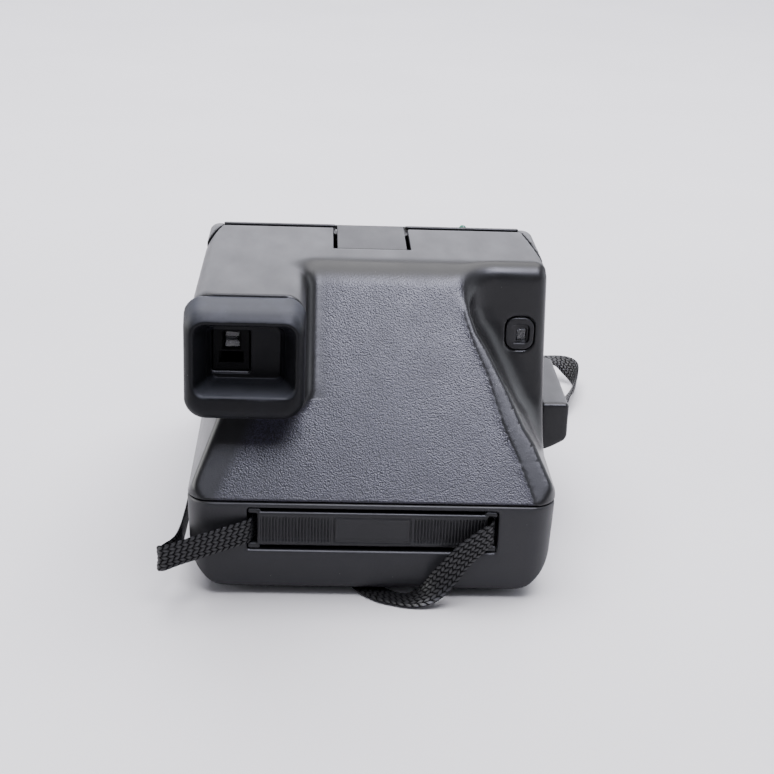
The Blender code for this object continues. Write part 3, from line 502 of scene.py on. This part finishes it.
materials = {
    "shell_plastic": shell_plastic("shell_plastic_fine", (0.012, 0.012, 0.0135), 0.35),
    "base_plastic": plastic("base_plastic_fine", (0.013, 0.013, 0.016), 0.46, 0.4, 0.02, gloss=0.32),
    "trim_plastic": plastic("trim_plastic_fine", (0.011, 0.011, 0.013), 0.42, 0.4, 0.02, gloss=0.28),
    "eyecup_rubber": rubber("eyecup_rubber_fine", (0.004, 0.0042, 0.0055)),
    "black_plastic": plastic("black_plastic_fine", (0.003, 0.003, 0.0035), 0.65, 0.3, 0.02,
                             wear=0.1, dust=0.05, gloss=0.1),
    "clear_plastic": clear("clear_plastic_fine"),
    "green_plastic": tinted("green_plastic_fine", (0.02, 0.20, 0.13), 0.3),
    "white_plastic": plastic("white_plastic_fine", (0.62, 0.62, 0.58), 0.42, 0.4, 0.01,
                             wear=0.0, dust=0.1),
    "steel": metal("steel_fine", (0.56, 0.56, 0.57), 0.27, (0.03, 1.0, 1.0)),
    "copper": metal("copper_fine", (0.74, 0.42, 0.24), 0.33, (1.0, 0.04, 1.0)),
    "mirror_glass": mirror_glass("mirror_glass_fine"),
    "circuit_board": circuit_board("circuit_board_fine"),
    "strap_nylon": strap_nylon("strap_nylon_fine", (0.0035, 0.0035, 0.004)),
}
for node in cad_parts.values():
    for holder in node.material_slots:
        holder.material = materials[holder.material.name.split(".")[0]]


# ---- the strap ----------------------------------------------------------------------------
STRAP_LIFT = 0.35
STRAP_ROUTE = [
    (-32.0, 3.85, 22.7, 90), (-35.4, 3.7, 22.7, 90), (-37.0, 2.2, 22.6, 90), (-37.5, 0.1, 22.4, 90),
    (-39.6, -1.6, 22.0, 90), (-44.5, -3.3, 21.0, 90), (-51.0, -5.0, 19.4, 90), (-58.4, -6.8, 17.5, 90),
    (-63.2, -7.6, 16.0, 90), (-65.0, -6.2, 15.2, 90), (-63.9, -4.2, 15.0, 90), (-60.9, 0.5, 15.4, 90),
    (-59.9, 10.0, 14.2, 90), (-60.0, 30.0, 10.5, 90), (-60.4, 55.0, 7.0, 90), (-60.8, 80.0, None, 90),
    (-61.2, 110.0, None, 90), (-61.6, 140.0, None, 90), (-59.0, 162.0, None, 90),
    (-46.0, 176.0, None, 90), (-20.0, 179.0, None, 90), (12.0, 180.0, None, 90),
    (38.0, 183.0, None, 90), (58.0, 193.0, None, 90), (40.0, 203.0, None, 90), (12.0, 205.5, None, 90),
    (-20.0, 206.0, None, 90), (-44.0, 209.0, None, 90), (-57.0, 219.0, None, 90),
    (-44.0, 229.0, None, 90), (-18.0, 231.0, None, 85), (12.0, 227.0, None, 70),
    (40.0, 219.0, 4.2, 40), (62.0, 210.0, 5.2, 16), (75.0, 205.5, 7.2, 5), (82.5, 203.5, 8.2, 6),
    (88.2, 201.0, 7.8, 26), (91.4, 196.5, 6.2, 56), (92.4, 190.0, None, 80), (90.8, 182.0, None, 80),
    (87.0, 173.0, None, 58), (81.0, 161.0, None, 25), (73.5, 146.0, None, 5),
    (65.5, 128.0, None, 0), (59.0, 110.0, None, 0), (49.0, 90.0, None, 0), (36.0, 71.0, None, 0),
    (22.0, 54.0, None, 0), (8.0, 38.0, None, 0), (-1.5, 22.0, None, 0), (-2.5, 8.0, None, 0),
    (3.0, 0.0, None, 0), (9.5, -3.4, 1.0, 0), (14.3, -4.6, 2.0, 16), (19.0, -5.0, 4.9, 45),
    (23.3, -4.8, 9.9, 72), (28.0, -4.0, 15.9, 86), (33.2, -2.8, 20.4, 90), (36.9, -1.0, 22.4, 90),
    (37.6, 0.8, 22.8, 90), (37.4, 2.6, 22.9, 90), (35.6, 3.8, 23.0, 90), (32.0, 3.9, 23.0, 90),
]
FINE_RUN = 60.0        # the stretch at each end whose yarns are modelled
FINE_STEP = 0.25       # between two cross-sections there
PLAIN_STEP = 1.0       # and between two in the rest, where the material alone shows the yarns
SIDE_POINTS = 36       # along each flat side of a cross-section
CORE_HEIGHT = 0.10     # from the strap's middle plane to the valleys between the yarns
YARN_HEIGHT = 0.52     # and from there to a yarn's crown
PLAIN_RELIEF = 0.6     # the share of YARN_HEIGHT that the rest of the strap has
SCALLOP = 0.10         # how far the edges draw in between two yarns
FACE_SHIFT = 0.01      # sets the fibres of the two sides apart


def strap_rings():
    """Evenly spaced points and tilts along the smooth curve through the route, and arc lengths."""
    route = []
    for x, y, z, tilt in STRAP_ROUTE:
        slant = math.radians(tilt)
        rest = STRAP_LIFT + STRAP_WIDTH / 2 * math.sin(slant) + STRAP_THICK / 2 * math.cos(slant)
        route.append((x, y, rest if z is None else z, tilt))
    route = np.array([route[0]] + route + [route[-1]])
    dense = []
    for before, start, end, after in zip(route, route[1:], route[2:], route[3:]):
        t = np.linspace(0.0, 1.0, 40, endpoint=False)[:, None]
        dense.append(0.5 * (2 * start + (end - before) * t
                            + (2 * before - 5 * start + 4 * end - after) * t ** 2
                            + (3 * start - before - 3 * end + after) * t ** 3))
    dense = np.vstack(dense + [route[-1:]])
    run = np.concatenate([[0.0], np.cumsum(np.linalg.norm(np.diff(dense[:, :3], axis=0), axis=1))])
    stops = np.concatenate([np.arange(0.0, FINE_RUN, FINE_STEP),
                            np.arange(FINE_RUN, run[-1] - FINE_RUN, PLAIN_STEP),
                            np.arange(run[-1] - FINE_RUN, run[-1], FINE_STEP)])
    return np.column_stack([np.interp(stops, run, dense[:, k]) for k in range(4)]), stops


def weave_relief(along, across):
    """Height of the yarn floats, 0 to 1, at places in millimetres on the strap's flat side."""
    column = np.clip(np.floor((across / STRAP_WIDTH + 0.5) * COLUMNS), 0, COLUMNS - 1)
    inside = ((across / STRAP_WIDTH + 0.5) * COLUMNS - column) * 2.0 - 1.0
    turn = np.where(column % 2 == 0, 1.0, -1.0)
    phase = along / YARN_PITCH + ROW_SHIFT * column + YARN_LEAN * inside * turn
    wave = 2.0 * np.abs(phase - np.floor(phase) - 0.5)
    float_shape = np.sqrt(np.clip(1.0 - wave ** 2, 0.0, 1.0))
    return float_shape * np.sqrt(np.clip(1.0 - YARN_ROUND * inside ** 2, 0.0, 1.0))


def make_strap():
    """The woven strap; its weave attribute holds the places along and across it, in metres."""
    rings, run = strap_rings()
    centre = rings[:, :3]
    tangent = np.gradient(centre, run, axis=0)
    tangent /= np.linalg.norm(tangent, axis=1)[:, None]
    level = np.cross((0.0, 0.0, 1.0), tangent)
    level /= np.linalg.norm(level, axis=1)[:, None]
    upright = np.cross(tangent, level)
    slant = np.radians(rings[:, 3])[:, None]
    across = level * np.cos(slant) + upright * np.sin(slant)
    outward = np.cross(tangent, across)
    spread = np.linspace(-1.0, 1.0, SIDE_POINTS)
    spread = np.sign(spread) * (1.0 - (1.0 - np.abs(spread)) ** 1.15)
    loop = [(s, 1.0) for s in spread] + [(s, -1.0) for s in spread[::-1]]
    points, weave = [], []
    fine = np.clip((np.maximum(FINE_RUN - run, run - run[-1] + FINE_RUN) + 1.0) / 4.0, 0.0, 1.0)
    scallop = SCALLOP * fine * (np.abs(np.sin(np.pi * run / YARN_PITCH)) - 1.0)
    for share, face in loop:
        reach = share * (STRAP_WIDTH / 2 + scallop)
        relief = PLAIN_RELIEF + fine * (weave_relief(run, reach) - PLAIN_RELIEF)
        edge = math.sqrt(max(0.0, 1.0 - abs(share) ** 5))
        height = face * (CORE_HEIGHT + YARN_HEIGHT * relief) * (0.2 + 0.8 * edge)
        points.append(centre + across * reach[:, None] + outward * height[:, None])
        weave.append(np.column_stack([run * MM, reach * MM, np.full_like(run, face * FACE_SHIFT)]))
    count = len(loop)
    points = np.stack(points, axis=1).reshape(-1, 3)
    weave = np.stack(weave, axis=1).reshape(-1, 3)
    rows = np.arange(len(run) - 1)[:, None] * count
    here = np.arange(count)[None, :]
    there = (here + 1) % count
    quads = np.stack([rows + here, rows + there, rows + count + there, rows + count + here], axis=-1)
    faces = quads.reshape(-1, 4).tolist()
    faces += [list(range(count))[::-1], list(range(len(points) - count, len(points)))]
    mesh = bpy.data.meshes.new("woven_strap")
    mesh.from_pydata(place(points).tolist(), [], faces)
    mesh.attributes.new("weave", "FLOAT_VECTOR", "POINT").data.foreach_set("vector", weave.ravel())
    mesh.shade_smooth()
    strap = link_mesh("woven_strap", mesh)
    finish_piece(strap, "camera_body", "strap_nylon", "strap")


# ---- the upper shell ----------------------------------------------------------------------
WING_REAR = {-1: 64.0, 1: 42.0}     # the rear end of the left and the right wing
WING_TIP_X = 55.8


def wing_gap(y, sign):
    """How far out the gap beside a wing runs: it slants outwards to the wing's pointed rear end."""
    share = np.clip((SHELL_FRONT_Y - y) / (SHELL_FRONT_Y - WING_REAR[sign]), 0.0, 1.0)
    return WING_GAP_X + (WING_TIP_X - WING_GAP_X) * share


def wing_side(y, z, sign, grow):
    """A front housing wing seen from the side, widened by grow."""
    rear = WING_REAR[sign] - grow
    under = outline(y, z, [(rear, 94.6 - grow), (SHELL_FRONT_Y + 0.5, 80.0 - grow)], closed=False)
    return np.maximum(under, rear - y)


def left_flank(y, z):
    """How far out the left flank reaches: above the crease it tapers towards the rear."""
    rise = np.clip((z - 31.5) / 25.5, 0.0, 1.1)
    start = 16.0 * rise
    forward = np.clip((y - start) / (84.0 - start), 0.0, 1.0)
    return HALF_WIDTH - rise * (10.8 - 10.0 * forward)


def shell_outside(x, y, z):
    """The case above the crease, as if solid: slope, viewfinder housing and thumb hollow."""
    across = follow(z, PANEL_RIGHT)
    panel = ramp(across - x, -0.7, 0.9) * ramp(z, 95.5, 91.0)
    slope = (z - CREASE_Z) * SLOPE_SIN - y * SLOPE_COS + 0.3 * panel
    slope = smax(slope, -x - left_flank(y, z), 2.0)
    finder = smax(x - FINDER_RIGHT_X, FINDER_BOTTOM_Z - z, 5.0)
    form = smin(slope, finder, 4.5)
    form = smax(form, z - TOP_Z, 6.0)
    hollow = smax((follow(z, RIDGE) - x) * 0.87, y - RECESS_WALL_Y, 9.0)
    form = cut(form, hollow, 1.3 + 3.7 * ramp(z, 82.0, 92.0))
    side = np.abs(x) - HALF_WIDTH + SIDE_DRAFT * (z - CREASE_Z)
    plan = smax(side, -y, PLAN_RADIUS)
    left_soft = np.clip(0.5 + 0.2 * (z - 33.0), 0.5, 5.5)
    right_soft = np.clip(0.5 + 0.1 * (z - 33.0), 0.5, 4.0)
    form = smax(form, plan, np.where(x < 0, left_soft, right_soft))
    behind_finder = np.minimum(FINDER_REAR_Y - y, z - 50.0)
    return smax(form, behind_finder, 0.6)


def upper_shell(x, y, z):
    form = shell_outside(x, y, z)
    inside = np.maximum(form + WALL, np.minimum(10.4 - y, z - 50.0))
    form = cut(form, inside)
    form = smax(form, BASE_TOP_Z + 0.3 - z, 0.3)
    form = smax(form, y - SHELL_FRONT_Y, 0.5)
    for sign in (-1, 1):
        notch = np.maximum(wing_side(y, z, sign, 0.4), wing_gap(y, sign) - sign * x)
        form = cut(form, notch, 0.3)
    form = cut(form, block(x, y, z, (TONGUE_SLOT, (57.7, 90.0), (95.0, 100.0))), 0.3)
    for low in (TONGUE_SLOT[0], TONGUE_SLOT[1] - TONGUE_GAP):
        form = cut(form, block(x, y, z, ((low, low + TONGUE_GAP), (57.7, 82.0), (90.0, 100.0))))
    form = cut(form, block(x, y, z, ((42.6, 52.4), (30.0, 60.0), (67.8, 79.2)), 3.8), 0.2)
    form = cut(form, block(x, y, z, ((-51.5, -24.5), (0.0, 8.0), (65.0, 86.5)), 0.8))
    return cut(form, block(x, y, z, ((-49.6, -38.0), (6.0, 14.0), (71.5, 84.9)), 0.3))


# ---- base, feet and strap bar -------------------------------------------------------------
def base_outside(x, y, z):
    side = np.abs(x) - HALF_WIDTH + 0.041 * (BASE_TOP_Z - z)
    form = smax(smax(side, BASE_BOTTOM_Z - z, BASE_ROUND), z - BASE_TOP_Z, 0.4)
    plan = smax(side, -y, PLAN_RADIUS)
    form = smax(form, plan, 0.4)
    return smax(form, smax(BASE_BOTTOM_Z - z, -y, 2.6), 0.3)


def base_tub(x, y, z):
    form = smax(base_outside(x, y, z), y - 118.8, 0.6)
    room = smax(np.abs(x) - HALF_WIDTH + WALL + 0.5, BASE_BOTTOM_Z + WALL - z, BASE_ROUND - WALL)
    form = cut(form, smax(room, 7.2 - y, 0.5), 0.4)
    form = cut(form, block(x, y, z, ((-38.5, 39.2), (-9.0, 5.0), (15.5, 29.5)), 0.7), 0.35)
    for low in (-46.0, 41.0):
        ear = block(x, y, z, ((low, low + 5.0), (113.0, 124.0), (2.7, 7.3)), 1.0)
        form = smin(form, ear, 0.4)
    form = cut(form, np.maximum(disc(y, z, DOOR_AXIS, DOOR_BORE_RADIUS), np.abs(x) - 48.0))
    return cut(form, block(x, y, z, ((50.0, 62.0), (100.7, 112.3), (16.7, 23.3)), 0.6), 0.2)


def foot(centre):
    """A rubber foot with a dished sole."""
    def field(x, y, z):
        around = disc(x, y, centre, 0.0)
        form = smax(smax(around - 4.0, -z, 0.5), z - 1.9, 0.1)
        return cut(form, np.hypot(around, z + 9.4) - 9.7, 0.1)
    return field


def strap_bar(x, y, z):
    form = block(x, y, z, ((-35.4, 36.0), (0.2, 2.6), (17.0, 28.4)), 0.75)
    ribs = 0.9 * (0.5 - 0.5 * np.tanh(4.0 * np.cos(2 * math.pi * x) + 1.2))
    zones = np.minimum(block(x, y, z, ((-34.4, -12.6), (-3.0, 0.6), (18.5, 26.7)), 0.3),
                       block(x, y, z, ((12.9, 35.0), (-3.0, 0.6), (18.5, 26.7)), 0.3))
    form = cut(form, np.maximum(zones, y - 0.2 - ribs))
    frame_line = np.abs(smax(slab(x, -11.6, 12.1), slab(z, 18.5, 26.7), 0.4)) - 0.22
    form = cut(form, np.maximum(frame_line, y - 0.55), 0.1)
    form = cut(form, block(x, y, z, ((-10.9, 11.4), (-3.0, 0.4), (19.2, 26.0)), 0.3))
    for ends in ((-38.2, -34.4), (35.0, 38.9)):
        for tall in ((15.8, 17.6), (27.6, 29.2)):
            form = smin(form, block(x, y, z, (ends, (0.6, 2.2), tall), 0.4), 0.3)
    for middle in (-22.0, 22.0):
        form = smin(form, block(x, y, z, ((middle - 3, middle + 3), (2.0, 4.7), (19.0, 26.0)), 0.4), 0.3)
    return form


# ---- viewfinder ---------------------------------------------------------------------------
def eyecup(x, y, z):
    """The rubber hood, which narrows towards the rear, with its funnel and the plug behind it."""
    back = np.maximum(4.7 - y, 0.0)
    top = z - 96.1 + 0.43 * back
    bottom = 58.7 + 0.17 * back - z
    form = smax(smax(np.abs(x + 39.5) - 18.2 + 0.06 * back, top, 6.0), bottom, 6.5)
    form = smax(form, -5.0 - y, 4.0)
    form = smax(form, y - 4.7, 0.3)
    form = np.minimum(form, block(x, y, z, ((-51.3, -24.7), (3.5, 7.9), (65.2, 86.3)), 0.6))
    deep = y + 4.6
    wide = np.abs(x + 39.2) - 15.3 + 0.43 * deep
    tall = np.abs(z - 78.95 + 0.115 * deep) - 11.05 + 0.242 * deep
    form = cut(form, smax(smax(wide, tall, np.clip(3.5 - 0.14 * deep, 1.6, 3.5)), y - 7.1, 0.4), 1.1)
    return cut(form, block(x, y, z, ((-49.9, -37.8), (6.0, 12.0), (71.1, 84.7)), 0.6), 0.15)


def viewfinder_mask(x, y, z):
    form = block(x, y, z, ((-49.3, -38.3), (8.2, 9.6), (71.7, 84.6)), 0.25)
    flare = np.clip(8.8 - y, 0.0, 0.6)
    upper = np.maximum(slab(x, -46.1, -41.4) - flare, slab(z, 78.8, 83.6) - flare)
    lower = np.maximum(slab(x, -47.4, -40.1), slab(z, 74.1, 77.6))
    return cut(cut(form, upper, 0.05), lower, 0.1)


# ---- front housing ------------------------------------------------------------------------
def front_housing(x, y, z):
    deck = outline(y, z, [(84.3, 85.8), (108.0, 84.8), (108.0, 87.0), (84.3, 88.0)], 0.4)
    panel = smax(slab(y, 105.6, 108.0), slab(z, 32.0, 87.0), 0.4)
    form = np.maximum(smin(deck, panel, 1.0), np.abs(x) - 53.5)
    wall = np.maximum(block(x, y, z, ((-55.4, 55.4), (84.3, 107.9), (31.6, 88.0)), 0.6), 52.9 - np.abs(x))
    form = smin(form, wall, 0.5)
    for sign in (-1, 1):
        wing = wing_side(y, z, sign, 0.0)
        wing = smax(wing, outline(y, z, [(107.9, 76.0), (107.9, 90.2), (88.4, 96.2), (40.0, 96.2)],
                                  2.0, closed=False), 0.5)
        wing = np.maximum(wing, 76.0 - z)
        side = sign * x - 55.4
        inner = np.where(y > SHELL_FRONT_Y + 0.3, WING_GAP_X + 0.15, wing_gap(y, sign) + 0.75)
        wing = smax(smax(wing, side, 3.0), inner - sign * x, 0.25)
        form = smin(form, wing, 0.3)
        pin = np.maximum(disc(y, z, FLASH_AXIS, FLASH_BORE_RADIUS), slab(sign * x, 46.0, 53.8))
        form = cut(form, pin)
    around = disc(x, z, (0.0, LENS_Z), 0.0)
    form = cut(form, np.maximum(around - 12.9, 100.0 - y), 0.5)
    form = cut(form, np.maximum(around - 16.5, 107.4 - y), 0.2)
    form = cut(form, block(x, y, z, ((-46.9, -33.8), (103.0, 112.0), (66.5, 82.5)), 0.6), 0.4)
    form = cut(form, np.maximum(disc(x, z, (27.0, 76.0), 3.8), 100.0 - y), 0.3)
    form = cut(form, block(x, y, z, ((-44.0, -24.0), (100.0, 112.0), (43.7, 48.3)), 1.2), 0.3)
    groove = np.abs(slab(z, 38.2, 83.9)) - 0.3
    return cut(form, np.maximum(np.maximum(groove, np.abs(x) - 50.0), 107.6 - y))


def lens_barrel(x, y, z):
    around = disc(x, z, (0.0, LENS_Z), 0.0)
    form = smax(smax(around - 12.5, slab(y, 104.1, 109.1), 0.6), 9.8 - around, 0.3)
    for reach in (107.0, 107.8, 108.4):
        form = cut(form, np.hypot(around - 12.6, y - reach) - 0.28)
    bevel = outline(around, y, [(9.8, 107.6), (11.6, 109.2)], closed=False)
    return smax(form, bevel, 0.2)


# ---- flash unit ---------------------------------------------------------------------------
HOOD = [(147.4, 45.0), (144.0, 58.0), (132.0, 76.0), (112.0, 89.5)]


def flash_outside(x, y, z):
    front = outline(y, z, [(145.2, 41.2)] + HOOD + [(104.0, 91.8)], 9.0, closed=False)
    form = smax(front, 110.4 - y, 0.5)
    return smax(form, np.abs(x) - 55.3, 5.0)


def flash_cover(x, y, z):
    """The hood and the arm between its hinge pins, which has a lip and room for the tongue."""
    axis_y, axis_z = FLASH_AXIS
    outer = flash_outside(x, y, z)
    room = np.maximum(outer + 2.3, 112.6 - y)
    form = smax(cut(outer, room), 41.2 - z, 0.5)
    reach = np.clip((y - axis_y) / 24.0, 0.0, 1.0)
    arm = np.hypot(y - axis_y - 24.0 * reach, z - axis_z + 5.6 * reach) - 3.9 + 1.5 * reach
    arm = smax(arm, np.abs(x) - 50.8, 0.6)
    arm = cut(arm, smax(y - 87.6, 94.4 - z, 0.3), 0.15)
    arm = cut(arm, np.maximum(slab(y, 86.0, 90.5), slab(z, 94.4, 95.7)))
    beyond_core = -disc(y, z, FLASH_AXIS, 2.5)
    notch = np.maximum(slab(x, -12.5, 11.3), np.maximum(beyond_core, 92.0 - z))
    arm = cut(arm, np.maximum(notch, y - 94.0))
    form = smin(form, np.maximum(arm, y - 114.0), 1.0)
    for sign in (-1, 1):
        form = cut(form, np.maximum(disc(y, z, FLASH_AXIS, FLASH_BORE_RADIUS), slab(sign * x, 43.2, 53.0)))
    form = cut(form, np.maximum(disc(x, y, (31.7, 92.6), 1.65), slab(z, 93.7, 99.0)), 0.2)
    groove = np.maximum(np.abs(slab(x, -47.0, 47.0)) - 0.35, -outer - 0.45)
    groove = np.maximum(groove, 118.0 - y)
    return cut(form, groove, 0.2)


def flash_window(x, y, z):
    """The flash's window, with the prism ridges that spread its light."""
    ridges = 0.22 * np.abs(2.0 * np.abs((x / 1.6) % 1.0 - 0.5) - 0.5)
    return block(x, y, z - ridges, ((-43.7, 19.7), (116.3, 139.7), (41.6, 43.2)), 0.3)


# ---- film door ----------------------------------------------------------------------------
def film_door(x, y, z):
    nose = smax(smax(slab(y, 90.0, 149.0), z - 37.5, 7.0), 2.7 - z, 4.0)
    nose = np.maximum(nose, 120.1 - y)
    shelf = np.maximum(smax(31.9 - z, z - 37.5, 0.4), slab(y, 109.2, 128.0))
    form = smin(nose, shelf, 0.0)
    form = smax(form, np.abs(x) - 55.4, 3.0)
    form = smax(form, z - 37.5, 0.6)
    knuckle = np.maximum(disc(y, z, DOOR_AXIS, 2.3), np.abs(x) - 55.4)
    form = smin(form, knuckle, 0.3)
    room = smax(smax(slab(z, 8.6, 35.1), y - 146.6, 4.0), np.abs(x) - 53.2, 1.0)
    form = cut(form, room, 0.3)
    slot = block(x, y, z, ((-46.0, 46.0), (140.0, 155.0), (22.0, 28.0)), 1.2)
    form = cut(form, slot, 0.8)
    form = cut(form, np.maximum(disc(y, z, DOOR_AXIS, DOOR_BORE_RADIUS), np.abs(x) - 60.0))
    for low in (-46.6, 40.4):
        form = cut(form, block(x, y, z, ((low, low + 6.2), (110.0, 126.0), (-2.0, 9.5))), 0.3)
    for height in (12.0, 14.0, 16.0):
        grip = np.hypot(y - 149.3, z - height) - 0.75
        form = cut(form, smax(grip, np.abs(x) - 18.0, 0.4), 0.2)
    return form


# ---- grip, buttons and counter ------------------------------------------------------------
def shutter_grip(x, y, z):
    form = outline(x, z, [(60.2, 27.4), (67.7, 31.6), (67.7, 44.8), (57.9, 44.8), (57.9, 27.4)], 1.6)
    form = smax(form, slab(y, 55.0, 102.0), 1.3)
    form = smax(form, 57.9 - x, 0.1)
    form = cut(form, block(x, y, z, ((59.7, 66.3), (94.0, 110.0), (34.2, 42.8)), 0.9), 0.2)
    return cut(form, np.maximum(disc(x, z, (62.0, 31.9), 2.0), 93.0 - y), 0.2)


def shutter_button(x, y, z):
    form = block(x, y, z, ((60.0, 66.0), (97.0, 104.4), (34.5, 42.5)), 1.0)
    return cut(form, np.sqrt((x - 63.0) ** 2 + (y - 122.9) ** 2 + (z - 38.5) ** 2) - 19.2, 0.3)


def override_button(x, y, z):
    around = disc(x, z, (62.0, 31.9), 0.0)
    form = smax(around - 1.7, slab(y, 97.6, 103.2), 0.4)
    return cut(form, np.hypot(around, y - 105.6) - 2.7, 0.1)


def counter_plug(x, y, z):
    form = smax(smax(slab(x, 42.9, 52.1), slab(z, 68.1, 78.9), 3.5), slab(y, 42.8, 45.2), 0.35)
    depth = 42.85 + 1.45 * ramp(x, 44.6, 48.8)
    scoop = smax(smax(slab(x, 44.6, 50.6), slab(z, 70.2, 76.6), 1.6), y - depth, 0.3)
    form = cut(form, scoop, 0.3)
    return cut(form, block(x, y, z, ((46.6, 49.8), (40.0, 50.0), (71.0, 74.8)), 0.3))


def hinge_cover(x, y, z):
    return block(x, y, z, ((-12.0, 10.8), (58.0, 87.3), (95.3, 96.55)), 0.35)


def door_latch(x, y, z):
    form = block(x, y, z, ((53.2, 58.6), (101.0, 107.0), (17.0, 23.0)), 0.7)
    for place_y in (102.6, 104.0, 105.4):
        form = cut(form, np.hypot(x - 58.7, y - place_y) - 0.42, 0.1)
    return form


def exposure_slider(x, y, z):
    form = block(x, y, z, ((-37.5, -30.5), (104.2, 109.8), (44.0, 48.0)), 0.6)
    for place_x in (-36.0, -35.0, -33.0, -32.0):
        form = cut(form, np.hypot(x - place_x, y - 109.9) - 0.3, 0.1)
    return form


def make_mouldings():
    """Each row: name, field, low and high corner, grid step, body, slot and the CAD nodes."""
    half = HALF_WIDTH
    rows = [
        ("slope_shell", upper_shell, (-half, 0, 31), (half, 84, TOP_Z), 0.5, "camera_body",
         "shell_plastic", "upper_shell"),
        ("lower_tub", base_tub, (-half, 0, 2), (half, 124.5, 31.5), 0.55, "camera_body",
         "base_plastic", "base_tub"),
        ("ribbed_bar", strap_bar, (-38.5, 0, 15.5), (39.2, 5, 29.5), (0.125, 0.2, 0.4), "camera_body",
         "trim_plastic", "strap_bar"),
        ("rubber_eyecup", eyecup, (-58, -5, 58.5), (-21, 8, 96.5), 0.25, "camera_body",
         "eyecup_rubber", "eyecup"),
        ("window_mask", viewfinder_mask, (-49.5, 8, 71.5), (-38, 9.8, 85), 0.12, "camera_body",
         "black_plastic", "viewfinder_mask"),
        ("lens_housing", front_housing, (-55.5, 42, 31.5), (55.5, 108, 96.3), 0.5, "camera_body",
         "shell_plastic", "front_housing"),
        ("ringed_barrel", lens_barrel, (-12.6, 104, 53), (12.6, 109.2, 79), 0.2, "camera_body",
         "black_plastic", "lens_barrel"),
        ("flash_hood", flash_cover, (-55.4, 84.4, 41), (55.4, 147.5, 96.6), (0.6, 0.4, 0.35),
         "flash_unit", "shell_plastic", "flash_cover"),
        ("flash_prism", flash_window, (-43.8, 116.2, 41.4), (19.8, 139.8, 43.5), 0.3, "flash_unit",
         "clear_plastic", "flash_window"),
        ("print_door", film_door, (-55.5, 109, 2.5), (55.5, 149, 37.6), 0.5, "film_door_unit",
         "base_plastic", "film_door"),
        ("side_grip", shutter_grip, (57.8, 54.9, 27.3), (67.8, 102.1, 44.9), 0.3, "camera_body",
         "shell_plastic", "shutter_grip"),
        ("dished_button", shutter_button, (59.9, 96.9, 34.4), (66.1, 104.5, 42.6), 0.15,
         "shutter_button_body", "trim_plastic", "shutter_button"),
        ("small_button", override_button, (60.2, 97.5, 30.1), (63.8, 103.3, 33.7), 0.12,
         "override_button_body", "trim_plastic", "flash_override_button"),
        ("scooped_plug", counter_plug, (42.8, 42.7, 68), (52.2, 45.3, 79), 0.12, "camera_body",
         "trim_plastic", "counter_plug"),
        ("top_tongue", hinge_cover, (-12.1, 57.9, 95.2), (10.9, 87.4, 96.6), 0.2, "camera_body",
         "trim_plastic", "hinge_cover"),
        ("ridged_latch", door_latch, (53.1, 100.9, 16.9), (58.7, 107.1, 23.1), 0.14, "door_latch_body",
         "trim_plastic", "door_latch"),
        ("ridged_slider", exposure_slider, (-37.6, 104.1, 43.9), (-30.4, 109.9, 48.1), 0.14,
         "exposure_slider_body", "trim_plastic", "exposure_slider"),
    ]
    for row, y in (("rear", 14.0), ("front", 104.0)):
        for side, x in (("left", -38.0), ("right", 38.0)):
            rows.append((f"dished_foot_{row}_{side}", foot((x, y)), (x - 4, y - 4, 0), (x + 4, y + 4, 2),
                         0.2, "camera_body", "eyecup_rubber", f"foot_{row}_{side}"))
    for name, field, low, high, step, body, slot, node in rows:
        finish_piece(moulding(name, field, low, high, step), body, slot, node)


# ---- floor and light ----------------------------------------------------------------------
def add_floor():
    mesh = bpy.data.meshes.new("floor")
    far = 6.0
    mesh.from_pydata([(-far, -far, 0), (far, -far, 0), (far, far, 0), (-far, far, 0)], [], [(0, 1, 2, 3)])
    floor = link_mesh("floor", mesh)
    paint = Shader("pale_floor")
    clouds = paint.remap(paint.noise(160.0, 4.0), 0.3, 0.7)
    tone = paint.blend(clouds, (0.76, 0.75, 0.79), (0.80, 0.79, 0.83))
    floor.data.materials.append(paint.finish(tone, 0.55, paint.bump(paint.noise(3.0), 0.02, 0.2)))


def add_light(name, spot, aim, size, power, colour=(1.0, 1.0, 1.0), sheen_only=False):
    """A panel of light; with sheen_only it shows in reflections but doesn't light matt surfaces."""
    data = bpy.data.lights.new(name, "AREA")
    data.shape = "RECTANGLE"
    data.size, data.size_y = size
    data.energy = power
    data.color = colour
    light = bpy.data.objects.new(name, data)
    light.location = spot
    light.rotation_euler = (Vector(aim) - Vector(spot)).to_track_quat("-Z", "Y").to_euler()
    light.visible_camera = False
    light.visible_diffuse = not sheen_only
    bpy.context.scene.collection.objects.link(light)


def add_lights():
    world = bpy.data.worlds.new("soft_room")
    world.use_nodes = True
    background = world.node_tree.nodes["Background"]
    background.inputs["Color"].default_value = (0.80, 0.81, 0.86, 1.0)
    background.inputs["Strength"].default_value = 0.34
    bpy.context.scene.world = world
    middle = (0.0, 0.0, 0.05)
    add_light("overhead", (0.1, 0.3, 1.7), middle, (1.9, 1.9), 88.0, (0.99, 0.98, 1.0))
    add_light("far_panel", (0.0, 2.2, 0.9), (0.0, 0.0, 0.3), (3.2, 1.5), 44.0, (0.90, 0.90, 1.0))
    add_light("high_rear", (0.32, -0.92, 1.48), middle, (0.9, 0.7), 72.0, (0.82, 0.83, 1.0),
              sheen_only=True)
    add_light("left_panel", (-1.7, 0.2, 0.5), middle, (1.6, 1.0), 45.0, sheen_only=True)
    add_light("right_panel", (1.7, 0.2, 0.5), middle, (1.6, 1.0), 18.0, (0.9, 0.93, 1.0),
              sheen_only=True)


add_camera()
make_strap()
make_mouldings()
add_floor()
add_lights()
